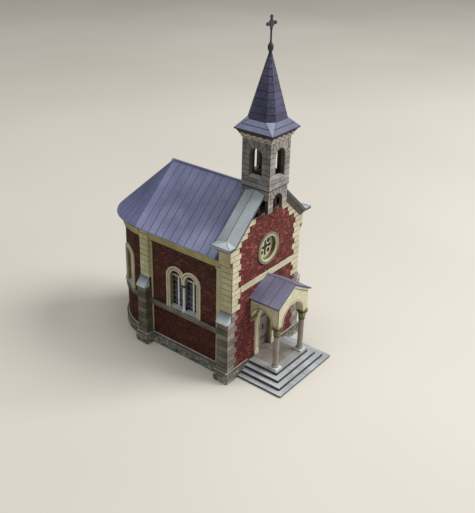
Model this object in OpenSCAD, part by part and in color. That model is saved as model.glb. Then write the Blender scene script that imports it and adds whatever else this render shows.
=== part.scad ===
// A small brick chapel, built as a card scale model: nave with a round apse,
// gabled front with a bell turret and spire, open porch on two columns.
// All sizes are of the model itself, in millimetres. The front faces -Y.

/* [Walls] */
// Half width over the outer faces of the side walls
wall_half = 28.2; // [27.5:0.1:29.5]
// Thickness of the side and apse walls
wall_t = 3; // [2.4:0.1:3.6]
// Thickness of the front wall, which carries the gable and the turret
front_t = 7; // [6.4:0.1:7.6]
// Distance from the front face to the centre of the round apse
apse_y = 66.5; // [60:0.5:76]
// Height of the rubble plinth, which is also the floor level
plinth_h = 6; // [5:0.1:7]
// Height of the brickwork, up to the eaves cornice
wall_h = 64.6; // [62:0.1:68]

/* [Roof] */
// Rise of the roof for each millimetre of run
roof_slope = 0.925; // [0.89:0.005:0.96]
// Overhang of the eaves beyond the side walls
eave_out = 3.8; // [3:0.1:4.6]
// Upright thickness of the roof
roof_t = 2; // [1.5:0.1:2.5]

/* [Piers] */
// How far the lower pier stands out from the wall
pier_out = 4.8; // [4:0.1:5.6]
// How far the upper pier stands out from the wall
upper_pier_out = 1.8; // [1.2:0.1:2.4]
// Height at which the lower pier ends and its sloping cap starts
pier_cap_z = 36.6; // [34:0.1:40]

/* [Windows] */
// Height of the window sills
sill_z = 28.5; // [26:0.1:31]
// Half width of one arched light
light_half = 4.4; // [3.8:0.1:4.7]
// Space between the two lights of a side window, which a colonnette stands in
light_gap = 2.1; // [1.6:0.1:2.6]
// Radius of the round front window
oculus_r = 6.8; // [5.8:0.1:7.3]
// Where the round window's centre lies between the band under it and the gable's flat top
oculus_share = 0.45; // [0.41:0.01:0.49]

/* [Turret] */
// Half width of the square bell stage
turret_half = 8.6; // [8:0.1:9.2]
// Height of the bell stage, from string course to frieze
belfry_h = 25.2; // [23:0.1:29]
// Height of the eight-sided spire
spire_h = 31.7; // [26:0.1:38]

/* [Porch] */
// Half width of the door opening
door_half = 5.85; // [5:0.05:6.6]
// Width of the surround beside the door
door_frame_w = 3.5; // [2.6:0.1:4.2]
// Thickness of the porch's arched walls
porch_t = 3.6; // [3.2:0.1:4]
// Depth of the porch, from the chapel front to the face of its arch
porch_d = 18.4; // [16:0.1:21]
// Height at which the porch arches start
porch_spring = 33.4; // [31:0.1:35]
// Depth of one tread of the steps
tread = 3.15; // [2.6:0.05:3.6]

/* [Hidden] */
$fn = 64;
// Tool overshoot of a cut beyond the face that it opens
cut = 1;

// Walls and plinth
wall_in = wall_half - wall_t;
plinth_out = 1;
floor_t = 2;

// Cornice under the eaves, with a face that leans out to the eaves
cornice_h = 9.2;
cornice_set = 0.9;
cornice_foot = 0.6;
cornice_out = eave_out - cornice_set;
eave_edge = 0.6;

// Roof planes and eaves
eave_half = wall_half + eave_out;
ridge_z = wall_h + cornice_h + roof_t + roof_slope * wall_half;
function roof_top(x) = ridge_z - roof_slope * x;
function roof_under(x) = roof_top(x) - roof_t;

// Gable: a moulding lies on the wall, and a sheet coping with a fold along its middle
// lies on the moulding
cope_gap = 2.6;
mould_h = 4.6;
cope_t = 1.2;
cope_fold = 1.8;
cope_over = 2.6;
mould_over = 1.55;
mould_fall = 0.72;
mould_steps = 3;
function cope_under(x) = roof_top(x) + cope_gap;
function cope_joint(x) = cope_under(x) + mould_h;
function cope_top(x) = cope_joint(x) + cope_t;
pier_top = cope_under(wall_half);
gable_cut = 11.7;
gable_cut_z = ridge_z - gable_cut;
gable_cut_half = (ridge_z + cope_gap - gable_cut_z) / roof_slope;

// The foot of the coping turns level, and its fold ends in a hip there
foot_set = 2.6;
foot_x = wall_half + foot_set;
foot_run = 4.9;
foot_tip_x = foot_x + foot_run;
mould_run = 4;

// Piers. The kneelers at the head of the front piers stand out as far as the eaves
rear_pier_set = 1.3;
rear_pier_w = 6.6;
rear_pier_y = apse_y - rear_pier_set - rear_pier_w;
pier_cap_over = 1;
pier_cap_lip = 0.7;
pier_cap_h = 5.6;
kneeler_h = 6.9;
kneeler_slant = 2.5;

// Windows. Their surrounds have a bead along both edges of a flat face
frame_w = 2.35;
frame_flat = 0.5;
frame_out = 0.9;
outer_bead = 0.9;
inner_bead = 0.7;
window_head = 9.45;
light_spring = wall_h - window_head - frame_w - light_half;
light_set = light_half + light_gap / 2;
capital_drop = 2.4;
capital_h = 2;
colonnette_foot = 1;
capital_z = light_spring - capital_drop;
colonnette_inset = 0.2;
pane_inset = 0.2;
pane_t = 0.6;
front_strip = 4.3;
rear_strip = 1.2;
window_y = (front_t + front_strip + rear_pier_y - rear_strip) / 2;
apse_angles = [26, 90, 154];
band_h = 3.1;
band_out = 1;

// Porch roof and the width of the porch, which clears the door surround
porch_clear = 0.45;
porch_half = door_half + door_frame_w + porch_clear + porch_t;
porch_rise = 20.6;
porch_ridge_z = porch_spring + porch_rise;
porch_slope = 0.566;
porch_roof_t = 0.8;
function porch_top(x) = porch_ridge_z - porch_slope * x;
function porch_under(x) = porch_top(x) - porch_roof_t;

// Round front window and the band under it, which the porch ridge reaches
front_band_drop = 2;
front_band_z = porch_ridge_z - front_band_drop;
front_band_h = 3.3;
quoin_reach = 5.45;
front_band_half = wall_half - quoin_reach;
front_band_out = 0.6;
oculus_z = front_band_z + oculus_share * (gable_cut_z - front_band_z);
ring_w = 2.2;
ring_out = 0.9;
ring_flat = 0.5;
ring_bead = 0.8;
tracery_y = 1.8;
tracery_t = 1;
cross_w = oculus_r * 0.2;
cross_reach = oculus_r * 0.58;
cross_end_r = oculus_r * 0.14;
cross_eye_r = oculus_r * 0.2;
petal_r = oculus_r * 0.12;
petal_reach = oculus_r * 0.55;

// Door
door_rise = 21;
door_spring = plinth_h + door_rise;
door_frame_out = 0.8;
door_foot_h = 3.2;
door_foot_out = 1.1;
door_y = 2.5;
door_t = 1.5;

// Turret, centred on the thickness of the front wall. Stout corner piers carry the bell stage
turret_y = front_t / 2;
turret_set = 0.4;
turret_low = turret_half - turret_set;
turret_t = 1.7;
turret_in = turret_low - turret_t;
leg_lift = 2.3;
leg_z = gable_cut_z + leg_lift;
string_up = 2.9;
string_z = ridge_z + string_up;
shaft_z = string_z + belfry_h;
low_arch_half = 3.9;
low_arch_drop = 7.1;
low_arch_spring = string_z - low_arch_drop;
side_arch_half = 2.25;
side_arch_drop = 6.3;
side_arch_spring = string_z - side_arch_drop;
bell_half = 3.9;
bell_jamb = 0.25;
bell_in = bell_half + bell_jamb;
bell_sill_up = 5.7;
bell_sill_z = string_z + bell_sill_up;
bell_head = 4;
bell_spring = shaft_z - bell_head - bell_half;
bell_floor_t = 1.5;

// Frieze, skirt and spire
frieze_h = 4.5;
frieze_flare = 2.4;
frieze_half = turret_half + frieze_flare;
ceiling_t = 1.5;
skirt_over = 0.65;
skirt_half = frieze_half + skirt_over;
skirt_lip = 0.5;
skirt_h = 5.05;
frieze_top = shaft_z + frieze_h;
spire_z = frieze_top + skirt_lip + skirt_h;
spire_set = 0.25;
spire_half = turret_half - spire_set;
spire_corner = spire_half * 0.59;
spire_tip = 0.05;
finial_z = spire_z + spire_h;
finial_collar_r = 0.75;
finial_bulb_r = 1.3;
finial_stem_r = 0.45;
finial_bulb_h = 4.8;
finial_bulb_steps = 10;
finial_h = 10.3;
function finial_r(share) = finial_stem_r + (finial_collar_r - finial_stem_r) * (1 - share)
    + (finial_bulb_r - finial_stem_r) * sin(180 * share);
cross_z = finial_z + finial_h;
cross_bar = 0.9;
cross_t = 0.9;
cross_h = 6.7;
cross_arm_z = 3;
cross_arm = 3.6;
cross_ring_r = 1.7;
cross_ring_hole = 1;

// Porch arches, the side ones between the front wall of the porch and a corbel
porch_pier = 0.6;
porch_arch_r = porch_half - porch_t - porch_pier;
side_front = 0.8;
side_rear = 1.4;
porch_side_r = (porch_d - porch_t - side_front - side_rear) / 2;
porch_side_y = -side_rear - porch_side_r;
porch_eave_out = 1.8;
porch_eave = porch_half + porch_eave_out;
porch_over = 0.8;
corbel_h = 3.9;
corbel_d = 2;
corbel_foot = 0.4;
corbel_lip = 1.2;

// Porch columns
column_x = porch_half - porch_t / 2;
column_y = -porch_d + porch_t / 2;
column_r = 1.55;
column_base = 4.7;
column_base_h = 1.1;
torus_r = 0.55;
neck_drop = 6.6;
column_neck_z = porch_spring - neck_drop;
neck_ring_r = 0.35;
capital_flare = 0.6;
capital_steps = 8;
abacus = 4.4;
abacus_h = 2.2;

// Steps
platform_margin = 1.6;
platform_half = porch_half + platform_margin;
platform_d = porch_d + platform_margin;
slab_h = 0.9;
step_corner = 0.8;
step_corner_parts = 6;
step_count = 3;
riser = (plinth_h - slab_h) / step_count;
step_front = platform_d + step_count * tread;
step_half = platform_half + step_count * tread;

// Depth of the middle of the whole chapel, which is moved to the origin
middle_y = (apse_y + eave_half - step_front) / 2;

// Colours
brick = [0.45, 0.19, 0.17];
cream = [0.80, 0.77, 0.63];
grey_stone = [0.55, 0.53, 0.49];
rubble = [0.47, 0.45, 0.42];
roof_blue = [0.42, 0.42, 0.55];
sheet_grey = [0.60, 0.64, 0.67];
slate = [0.33, 0.32, 0.40];
turret_stone = [0.60, 0.57, 0.54];
step_stone = [0.56, 0.56, 0.58];
dark_pane = [0.08, 0.07, 0.11];
door_grey = [0.46, 0.42, 0.41];
dark_metal = [0.20, 0.19, 0.24];

// Puts a piece that is drawn from the chapel front into the part's frame
module placed() {
    translate([0, -middle_y, 0]) children();
}

// Extrudes an outline of width and height between two depths
module along_y(y0, y1) {
    translate([0, y1, 0]) rotate([90, 0, 0]) linear_extrude(height = y1 - y0) children();
}

// Extrudes an outline of depth and height between two widths
module along_x(x0, x1) {
    translate([x0, 0, 0]) rotate([90, 0, 90]) linear_extrude(height = x1 - x0) children();
}

module both_sides() {
    children();
    mirror([1, 0, 0]) children();
}

// Turns an outline of radius and height round the half circle of the apse
module round_apse() {
    translate([0, apse_y, 0]) rotate_extrude(angle = 180) children();
}

module at_apse_windows() {
    for (angle = apse_angles)
        translate([0, apse_y, 0]) rotate([0, 0, angle]) children();
}

module rect(x0, z0, x1, z1) {
    translate([x0, z0]) square([x1 - x0, z1 - z0]);
}

// Round-headed outline from its foot to the top of its arch
module arch(half, foot, spring) {
    rect(-half, foot, half, spring);
    translate([0, spring]) circle(r = half);
}

// Plan of the chapel, grown by a margin at the sides and the rear
module plan(margin, y0) {
    half = wall_half + margin;
    rect(-half, y0, half, apse_y);
    intersection() {
        translate([0, apse_y]) circle(r = half);
        rect(-half, apse_y, half, apse_y + half);
    }
}

module wall_section() {
    polygon([[wall_in, plinth_h], [wall_half, plinth_h],
        [wall_half, roof_under(wall_half)], [wall_in, roof_under(wall_in)]]);
}

module cornice_section() {
    outer = wall_half + cornice_out;
    polygon([[wall_half, wall_h], [wall_half + cornice_foot, wall_h],
        [outer, roof_under(outer) - cornice_foot], [outer, roof_under(outer)],
        [wall_half, roof_under(wall_half)]]);
}

module roof_section(half) {
    inner = half - cornice_set;
    polygon([[0, roof_top(0)], [half, roof_top(half)], [half, roof_top(half) - eave_edge],
        [inner, roof_under(inner)], [0, roof_under(0)]]);
}

module twin_lights(half, foot) {
    for (side = [-1, 1])
        translate([side * light_set, 0]) arch(half, foot, light_spring);
}

// A pair of lights, joined below the capital between them
module twin_window(half) {
    twin_lights(half, sill_z);
    rect(-light_set, sill_z, light_set, capital_z);
}

module side_window_hole() {
    translate([window_y, 0]) twin_window(light_half);
}

module plinth() {
    foot = wall_half + pier_out + plinth_out;
    color(rubble) placed() linear_extrude(height = plinth_h) difference() {
        union() {
            plan(plinth_out, 0);
            both_sides() {
                rect(step_half, -plinth_out, foot, 0);
                rect(wall_half, 0, foot, front_t + plinth_out);
                rect(wall_half, rear_pier_y - plinth_out, foot,
                    rear_pier_y + rear_pier_w + plinth_out);
            }
        }
        plan(-wall_t, front_t);
    }
}

module nave_floor() {
    color(step_stone) placed() translate([0, 0, plinth_h - floor_t])
        linear_extrude(height = floor_t) plan(-wall_t, front_t);
}

module front_wall() {
    color(brick) placed() along_y(0, front_t) difference() {
        polygon([[-wall_half, plinth_h], [wall_half, plinth_h], [wall_half, pier_top],
            [gable_cut_half, gable_cut_z], [-gable_cut_half, gable_cut_z],
            [-wall_half, pier_top]]);
        arch(door_half, plinth_h - cut, door_spring);
        translate([0, oculus_z]) circle(r = oculus_r);
    }
}

module side_wall() {
    color(brick) placed() difference() {
        along_y(front_t, apse_y) wall_section();
        along_x(wall_in - cut, wall_half + cut) side_window_hole();
    }
}

module left_wall() {
    mirror([1, 0, 0]) side_wall();
}

module right_wall() {
    side_wall();
}

module apse_wall() {
    color(brick) placed() difference() {
        round_apse() wall_section();
        at_apse_windows() along_x(wall_in - wall_t, wall_half + cut)
            arch(light_half, sill_z, light_spring);
    }
}

module front_piers() {
    lower = wall_half + pier_out;
    upper = wall_half + upper_pier_out;
    kneeler = eave_half;
    kneeler_z = pier_top - kneeler_h;
    color(cream) placed() both_sides() along_y(0, front_t)
        polygon([[wall_half, plinth_h], [lower, plinth_h], [lower, pier_cap_z],
            [upper, pier_cap_z], [upper, kneeler_z - kneeler_slant], [kneeler, kneeler_z],
            [kneeler, pier_top], [wall_half, pier_top]]);
}

module rear_piers() {
    lower = wall_half + pier_out;
    upper = wall_half + upper_pier_out;
    color(cream) placed() both_sides() along_y(rear_pier_y, rear_pier_y + rear_pier_w)
        polygon([[wall_half, plinth_h], [lower, plinth_h], [lower, pier_cap_z],
            [upper, pier_cap_z], [upper, roof_under(upper)], [wall_half, roof_under(wall_half)]]);
}

module pier_cap() {
    outer = wall_half + pier_out + pier_cap_over;
    upper = wall_half + upper_pier_out;
    polygon([[upper, pier_cap_z], [outer, pier_cap_z], [outer, pier_cap_z + pier_cap_lip],
        [upper, pier_cap_z + pier_cap_h]]);
}

module pier_caps() {
    color(sheet_grey) placed() both_sides() {
        along_y(0, front_t) pier_cap();
        along_y(rear_pier_y, rear_pier_y + rear_pier_w) pier_cap();
    }
}

module sill_bands() {
    low = sill_z - band_h;
    rear = rear_pier_y + rear_pier_w;
    color(grey_stone) placed() {
        both_sides() {
            along_y(front_t, rear_pier_y) rect(wall_half, low, wall_half + band_out, sill_z);
            along_y(rear, apse_y) rect(wall_half, low, wall_half + band_out, sill_z);
        }
        round_apse() rect(wall_half, low, wall_half + band_out, sill_z);
    }
}

module eaves_cornice() {
    rear = rear_pier_y + rear_pier_w;
    color(cream) placed() {
        both_sides() {
            along_y(front_t, rear_pier_y) cornice_section();
            along_y(rear, apse_y) cornice_section();
        }
        round_apse() cornice_section();
    }
}

module side_window_frame(inner, outer) {
    difference() {
        twin_window(light_half + outer);
        twin_window(light_half + inner);
        rect(-light_gap / 2, sill_z - cut, light_gap / 2, capital_z);
    }
}

module side_window_surrounds() {
    color(cream) placed() both_sides() translate([0, window_y, 0]) {
        along_x(wall_half, wall_half + frame_flat) side_window_frame(0, frame_w);
        along_x(wall_half, wall_half + frame_out) {
            side_window_frame(0, inner_bead);
            side_window_frame(frame_w - outer_bead, frame_w);
        }
    }
}

// A band of the apse window surrounds, bent round the apse to a given thickness
module apse_window_frame(inner, outer, thick) {
    head = light_spring + light_half + frame_w + cut;
    intersection() {
        round_apse() rect(wall_half, sill_z, wall_half + thick, head);
        at_apse_windows() along_x(wall_in, eave_half) difference() {
            arch(light_half + outer, sill_z, light_spring);
            arch(light_half + inner, sill_z - cut, light_spring);
        }
    }
}

module apse_window_surrounds() {
    color(cream) placed() {
        apse_window_frame(0, frame_w, frame_flat);
        apse_window_frame(0, inner_bead, frame_out);
        apse_window_frame(frame_w - outer_bead, frame_w, frame_out);
    }
}

module window_colonnettes() {
    reach = light_gap / 2;
    shaft = reach * 0.7;
    foot = sill_z + colonnette_foot;
    neck = capital_z - capital_h;
    color(cream) placed() both_sides() translate([wall_half - colonnette_inset, window_y, 0])
        rotate_extrude() polygon([[0, sill_z], [reach, sill_z], [reach, foot],
            [shaft, foot], [shaft, neck], [reach, neck + capital_h / 2], [reach, capital_z],
            [0, capital_z]]);
}

module window_glass() {
    pane_x = wall_in + pane_inset;
    color(dark_pane) placed() {
        both_sides() along_x(pane_x, pane_x + pane_t) side_window_hole();
        at_apse_windows() along_x(pane_x, pane_x + pane_t)
            arch(light_half, sill_z, light_spring);
    }
}

// Turned ring with a bead along both edges of a hollowed face
module oculus_ring() {
    outer = oculus_r + ring_w;
    color(cream) placed() translate([0, 0, oculus_z]) rotate([90, 0, 0]) rotate_extrude()
        polygon([[oculus_r, 0], [outer, 0], [outer, ring_flat], [outer - ring_bead / 2, ring_out],
            [outer - ring_bead, ring_out], [outer - ring_bead, ring_flat],
            [oculus_r + ring_bead, ring_flat], [oculus_r + ring_bead, ring_out],
            [oculus_r + ring_bead / 2, ring_out], [oculus_r, ring_flat]]);
}

module oculus_tracery() {
    color(cream) placed() along_y(tracery_y, tracery_y + tracery_t)
        translate([0, oculus_z]) difference() {
            circle(r = oculus_r);
            circle(r = cross_eye_r);
            for (turn = [0, 90]) rotate(turn)
                rect(-cross_reach, -cross_w / 2, cross_reach, cross_w / 2);
            for (turn = [0, 90, 180, 270]) rotate(turn) {
                translate([cross_reach, 0]) circle(r = cross_end_r);
                rotate(45) translate([petal_reach, 0]) circle(r = petal_r);
            }
        }
}

module oculus_glass() {
    pane_y = tracery_y + tracery_t;
    color(dark_pane) placed() along_y(pane_y, pane_y + pane_t)
        translate([0, oculus_z]) circle(r = oculus_r);
}

module front_band() {
    color(cream) placed() along_y(-front_band_out, 0) difference() {
        rect(-front_band_half, front_band_z, front_band_half, front_band_z + front_band_h);
        polygon([[-porch_eave, porch_top(porch_eave)], [porch_eave, porch_top(porch_eave)],
            [0, porch_top(0)]]);
    }
}

module door_surround() {
    color(cream) placed() {
        along_y(-door_frame_out, 0) difference() {
            arch(door_half + door_frame_w, plinth_h, door_spring);
            arch(door_half, plinth_h - cut, door_spring);
        }
        both_sides() along_y(-door_foot_out, 0)
            rect(door_half, plinth_h, door_half + door_frame_w, plinth_h + door_foot_h);
    }
}

module door_leaf() {
    head = door_spring + door_half;
    color(door_grey) placed() along_y(door_y, door_y + door_t) intersection() {
        arch(door_half, plinth_h, door_spring);
        rect(0, plinth_h, door_half, head);
    }
}

module left_door() {
    mirror([1, 0, 0]) door_leaf();
}

module right_door() {
    door_leaf();
}

// Corners of the coping's section, from its front edge over the fold to its rear edge
function cope_section(x) = let (z = cope_joint(x), front = -cope_over, rear = front_t + cope_over)
    [[x, front, z], [x, rear, z], [x, rear, z + cope_t],
        [x, front_t / 2, z + cope_t + cope_fold], [x, front, z + cope_t]];

function cope_tip() = [for (i = [0, 1, 2, 4]) let (p = cope_section(foot_x)[i])
    [foot_tip_x, p[1], p[2]]];

module coping() {
    color(sheet_grey) placed()
        polyhedron(concat(cope_section(turret_low), cope_section(foot_x), cope_tip()),
            [[0, 1, 2, 3, 4],
                [1, 0, 5, 6], [2, 1, 6, 7], [3, 2, 7, 8], [4, 3, 8, 9], [0, 4, 9, 5],
                [6, 5, 10, 11], [7, 6, 11, 12], [5, 9, 13, 10],
                [8, 7, 12], [9, 8, 13], [13, 8, 12],
                [10, 13, 12, 11]]);
}

module left_coping() {
    mirror([1, 0, 0]) coping();
}

module right_coping() {
    coping();
}

// One step of the moulding, which takes up a share of its height below the coping
module mould_section(share, end_x) {
    foot_z = cope_joint(foot_x);
    low_z = foot_z - share * (foot_z - pier_top);
    polygon([[turret_low, cope_joint(turret_low) - share * mould_h],
        [foot_x - share * foot_set, low_z], [end_x, low_z], [end_x, foot_z], [foot_x, foot_z],
        [turret_low, cope_joint(turret_low)]]);
}

module gable_mouldings() {
    color(grey_stone) placed() both_sides() for (i = [0 : mould_steps - 1]) {
        over = mould_over - i * mould_fall;
        along_y(-over, front_t + over)
            mould_section((i + 1) / mould_steps, foot_x + mould_run - i * mould_fall);
    }
}

module roof_half() {
    color(roof_blue) placed() difference() {
        along_y(front_t, apse_y) roof_section(eave_half);
        translate([-cut, 0, gable_cut_z])
            cube([turret_low + cut, turret_y + turret_low, string_z - gable_cut_z]);
    }
}

module left_roof() {
    mirror([1, 0, 0]) roof_half();
}

module right_roof() {
    roof_half();
}

module apse_roof() {
    color(roof_blue) placed() round_apse() roof_section(eave_half);
}

module bell_opening() {
    arch(bell_half, bell_sill_z, bell_spring);
}

module turret_front() {
    inner = turret_y - turret_in;
    bell_inner = turret_y - bell_in;
    color(turret_stone) placed() {
        difference() {
            along_y(turret_y - turret_low, inner) rect(-turret_low, leg_z, turret_low, string_z);
            along_y(turret_y - turret_low - cut, inner + cut)
                arch(low_arch_half, leg_z - cut, low_arch_spring);
        }
        difference() {
            along_y(turret_y - turret_half, bell_inner)
                rect(-turret_half, string_z, turret_half, shaft_z);
            along_y(turret_y - turret_half - cut, bell_inner + cut) bell_opening();
        }
    }
}

module turret_sides() {
    y0 = turret_y - turret_in;
    y1 = turret_y + turret_in;
    color(turret_stone) placed() both_sides() {
        difference() {
            along_x(turret_in, turret_low) rect(y0, gable_cut_z, y1, string_z);
            along_x(turret_in - cut, turret_low + cut) translate([y0 + side_arch_half, 0])
                arch(side_arch_half, gable_cut_z - cut, side_arch_spring);
        }
        difference() {
            along_x(bell_in, turret_half)
                rect(turret_y - bell_in, string_z, turret_y + bell_in, shaft_z);
            along_x(bell_in - cut, turret_half + cut) translate([turret_y, 0]) bell_opening();
        }
    }
}

module turret_back() {
    inner = turret_y + turret_in;
    bell_inner = turret_y + bell_in;
    color(turret_stone) placed() {
        along_y(inner, turret_y + turret_low)
            rect(-turret_low, gable_cut_z, turret_low, string_z);
        difference() {
            along_y(bell_inner, turret_y + turret_half)
                rect(-turret_half, string_z, turret_half, shaft_z);
            along_y(bell_inner - cut, turret_y + turret_half + cut) bell_opening();
        }
    }
}

module turret_floor() {
    color(turret_stone) placed() translate([-bell_in, turret_y - bell_in, string_z])
        cube([2 * bell_in, 2 * bell_in, bell_floor_t]);
}

// Square block on the turret axis that widens from one half width to another
module flared_block(z, h, low_half, high_half) {
    translate([0, turret_y, z]) rotate([0, 0, 45])
        cylinder(h = h, r1 = low_half * sqrt(2), r2 = high_half * sqrt(2), $fn = 4);
}

module turret_frieze() {
    color(cream) placed() difference() {
        flared_block(shaft_z, frieze_h, turret_half, frieze_half);
        translate([-bell_in, turret_y - bell_in, shaft_z - cut])
            cube([2 * bell_in, 2 * bell_in, frieze_h - ceiling_t + cut]);
    }
}

// Square with cut corners: the plan of the spire's foot
module spire_plan() {
    w = spire_half;
    c = spire_corner;
    polygon([[w, -c], [w, c], [c, w], [-c, w], [-w, c], [-w, -c], [-c, -w], [c, -w]]);
}

module spire_skirt() {
    thin = 0.01;
    color(slate) placed() translate([0, turret_y, frieze_top]) hull() {
        linear_extrude(height = skirt_lip) square(2 * skirt_half, center = true);
        translate([0, 0, skirt_lip + skirt_h - thin]) linear_extrude(height = thin) spire_plan();
    }
}

module spire() {
    color(slate) placed() translate([0, turret_y, spire_z])
        linear_extrude(height = spire_h, scale = spire_tip) spire_plan();
}

module finial() {
    color(dark_metal) placed() translate([0, turret_y, finial_z]) rotate_extrude()
        polygon(concat([[0, 0]],
            [for (i = [0 : finial_bulb_steps]) let (share = i / finial_bulb_steps)
                [finial_r(share), finial_bulb_h * share]],
            [[finial_stem_r, finial_h], [0, finial_h]]));
}

module cross() {
    bar = cross_bar / 2;
    color(dark_metal) placed() along_y(turret_y - cross_t / 2, turret_y + cross_t / 2)
        translate([0, cross_z]) {
            rect(-bar, 0, bar, cross_h);
            rect(-cross_arm, cross_arm_z - bar, cross_arm, cross_arm_z + bar);
            translate([0, cross_arm_z]) difference() {
                circle(r = cross_ring_r);
                circle(r = cross_ring_hole);
            }
        }
}

module porch_front() {
    color(cream) placed() along_y(-porch_d, -porch_d + porch_t) difference() {
        polygon([[-porch_half, porch_spring], [porch_half, porch_spring],
            [porch_half, porch_under(porch_half)], [0, porch_under(0)],
            [-porch_half, porch_under(porch_half)]]);
        translate([0, porch_spring]) circle(r = porch_arch_r);
    }
}

module porch_sides() {
    inner = porch_half - porch_t;
    foot = porch_spring - corbel_h;
    color(cream) placed() both_sides() {
        difference() {
            along_y(-porch_d + porch_t, 0)
                polygon([[inner, porch_spring], [porch_half, porch_spring],
                    [porch_half, porch_under(porch_half)], [inner, porch_under(inner)]]);
            along_x(inner - cut, porch_half + cut)
                translate([porch_side_y, porch_spring]) circle(r = porch_side_r);
        }
        along_x(inner, porch_half) polygon([[0, foot], [0, porch_spring],
            [-corbel_d, porch_spring], [-corbel_d, porch_spring - corbel_lip],
            [-corbel_foot, foot]]);
    }
}

module porch_roof_half() {
    color(roof_blue) placed() along_y(-porch_d - porch_over, 0)
        polygon([[0, porch_top(0)], [0, porch_under(0)], [porch_eave, porch_under(porch_eave)],
            [porch_eave, porch_top(porch_eave)]]);
}

module left_porch_roof() {
    mirror([1, 0, 0]) porch_roof_half();
}

module right_porch_roof() {
    porch_roof_half();
}

// Half outline of a column: a torus at its foot, a ring at its neck and a hollow bell above
module column_outline() {
    foot = plinth_h + column_base_h;
    abacus_z = porch_spring - abacus_h;
    bell_z = column_neck_z + neck_ring_r;
    bell_h = abacus_z - bell_z;
    rect(0, foot, column_r, abacus_z);
    rect(0, foot, column_r, foot + 2 * torus_r);
    translate([column_r, foot + torus_r]) circle(r = torus_r);
    translate([column_r, column_neck_z]) circle(r = neck_ring_r);
    polygon(concat([[0, bell_z], [column_r, bell_z]],
        [for (i = [1 : capital_steps]) let (share = i / capital_steps)
            [column_r + capital_flare * share * share, bell_z + bell_h * share]],
        [[0, abacus_z]]));
}

module porch_columns() {
    color(cream) placed() both_sides() translate([column_x, column_y, 0]) {
        translate([-column_base / 2, -column_base / 2, plinth_h])
            cube([column_base, column_base, column_base_h]);
        rotate_extrude() column_outline();
        translate([-abacus / 2, -abacus / 2, porch_spring - abacus_h])
            cube([abacus, abacus, abacus_h]);
    }
}

// One level of the steps, with its two front corners rounded
module step_block(level, z, h) {
    half = platform_half + level * tread;
    front = platform_d + level * tread;
    right = [for (i = [0 : step_corner_parts]) let (turn = 90 * i / step_corner_parts)
        [half - step_corner * (1 - sin(turn)), step_corner * (1 - cos(turn)) - front]];
    left = [for (i = [step_corner_parts : -1 : 0]) [-right[i][0], right[i][1]]];
    translate([0, 0, z]) linear_extrude(height = h)
        polygon(concat(left, right, [[half, 0], [-half, 0]]));
}

module steps() {
    color(step_stone) placed() {
        step_block(step_count, 0, slab_h);
        for (level = [1 : step_count - 1])
            step_block(level, 0, plinth_h - level * riser);
    }
}

module platform() {
    color(step_stone) placed() step_block(0, plinth_h - riser, riser);
}

plinth();
nave_floor();
front_wall();
left_wall();
right_wall();
apse_wall();
front_piers();
rear_piers();
pier_caps();
sill_bands();
eaves_cornice();
side_window_surrounds();
apse_window_surrounds();
window_colonnettes();
window_glass();
oculus_ring();
oculus_tracery();
oculus_glass();
front_band();
door_surround();
left_door();
right_door();
left_coping();
right_coping();
gable_mouldings();
left_roof();
right_roof();
apse_roof();
turret_front();
turret_sides();
turret_back();
turret_floor();
turret_frieze();
spire_skirt();
spire();
finial();
cross();
porch_front();
porch_sides();
left_porch_roof();
right_porch_roof();
porch_columns();
steps();
platform();
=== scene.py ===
"""Small chapel, a card scale model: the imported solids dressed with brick, stone, sheet and glazing."""
import math
import random

import bpy
from mathutils import Matrix, Vector

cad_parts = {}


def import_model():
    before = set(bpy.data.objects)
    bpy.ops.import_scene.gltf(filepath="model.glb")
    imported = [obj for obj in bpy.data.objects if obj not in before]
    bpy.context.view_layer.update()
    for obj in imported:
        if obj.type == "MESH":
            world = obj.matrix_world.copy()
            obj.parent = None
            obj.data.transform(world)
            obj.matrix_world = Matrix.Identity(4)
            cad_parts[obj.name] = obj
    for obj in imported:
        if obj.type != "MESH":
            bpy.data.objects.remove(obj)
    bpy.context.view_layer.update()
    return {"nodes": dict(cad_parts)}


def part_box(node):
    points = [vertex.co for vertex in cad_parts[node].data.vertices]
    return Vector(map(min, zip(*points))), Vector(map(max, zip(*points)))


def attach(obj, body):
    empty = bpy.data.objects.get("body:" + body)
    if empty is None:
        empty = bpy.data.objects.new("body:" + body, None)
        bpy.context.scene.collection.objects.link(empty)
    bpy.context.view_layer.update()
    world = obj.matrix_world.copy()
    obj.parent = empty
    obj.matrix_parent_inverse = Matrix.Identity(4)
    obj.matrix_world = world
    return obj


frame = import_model()
nodes = frame["nodes"]
rng = random.Random(11)
MM = 0.001

# Sizes are in millimetres, and depths are measured from the front face of the chapel
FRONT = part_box("front_wall")[0][1] / MM


def low(node):
    """The lowest corner of a node's box."""
    x, y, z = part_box(node)[0]
    return Vector((x / MM, y / MM - FRONT, z / MM))


def high(node):
    """The highest corner of a node's box."""
    x, y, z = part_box(node)[1]
    return Vector((x / MM, y / MM - FRONT, z / MM))


def at(x, y, z):
    """A point in the frame, in metres."""
    return Vector((x, y + FRONT, z)) * MM


# Walls
WALL_HALF = high("front_wall").x
FRONT_T = high("front_wall").y
GABLE_CUT_Z = high("front_wall").z
APSE_Y = low("apse_wall").y
WALL_Z = low("front_wall").z
WALL_TOP = low("eaves_cornice").z
PLINTH_HALF = high("plinth").x
PLINTH_OUT = -low("plinth").y
STRIP_FRONT = 4.3
STRIP_REAR = 1.2
HEAD_H = 1.4

# Piers
PIER_HALF = high("front_piers").x
PIER_TOP = high("front_piers").z
UPPER_OUT = 1.8
UPPER_HALF = WALL_HALF + UPPER_OUT
PIER_CAP_Z = 36.6
CAP_TOP = high("pier_caps").z
KNEELER_H = 6.9
KNEELER_SLANT = 2.5
SLANT_Z = PIER_TOP - KNEELER_H - KNEELER_SLANT
REAR_Y0 = low("rear_piers").y
REAR_Y1 = high("rear_piers").y

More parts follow.
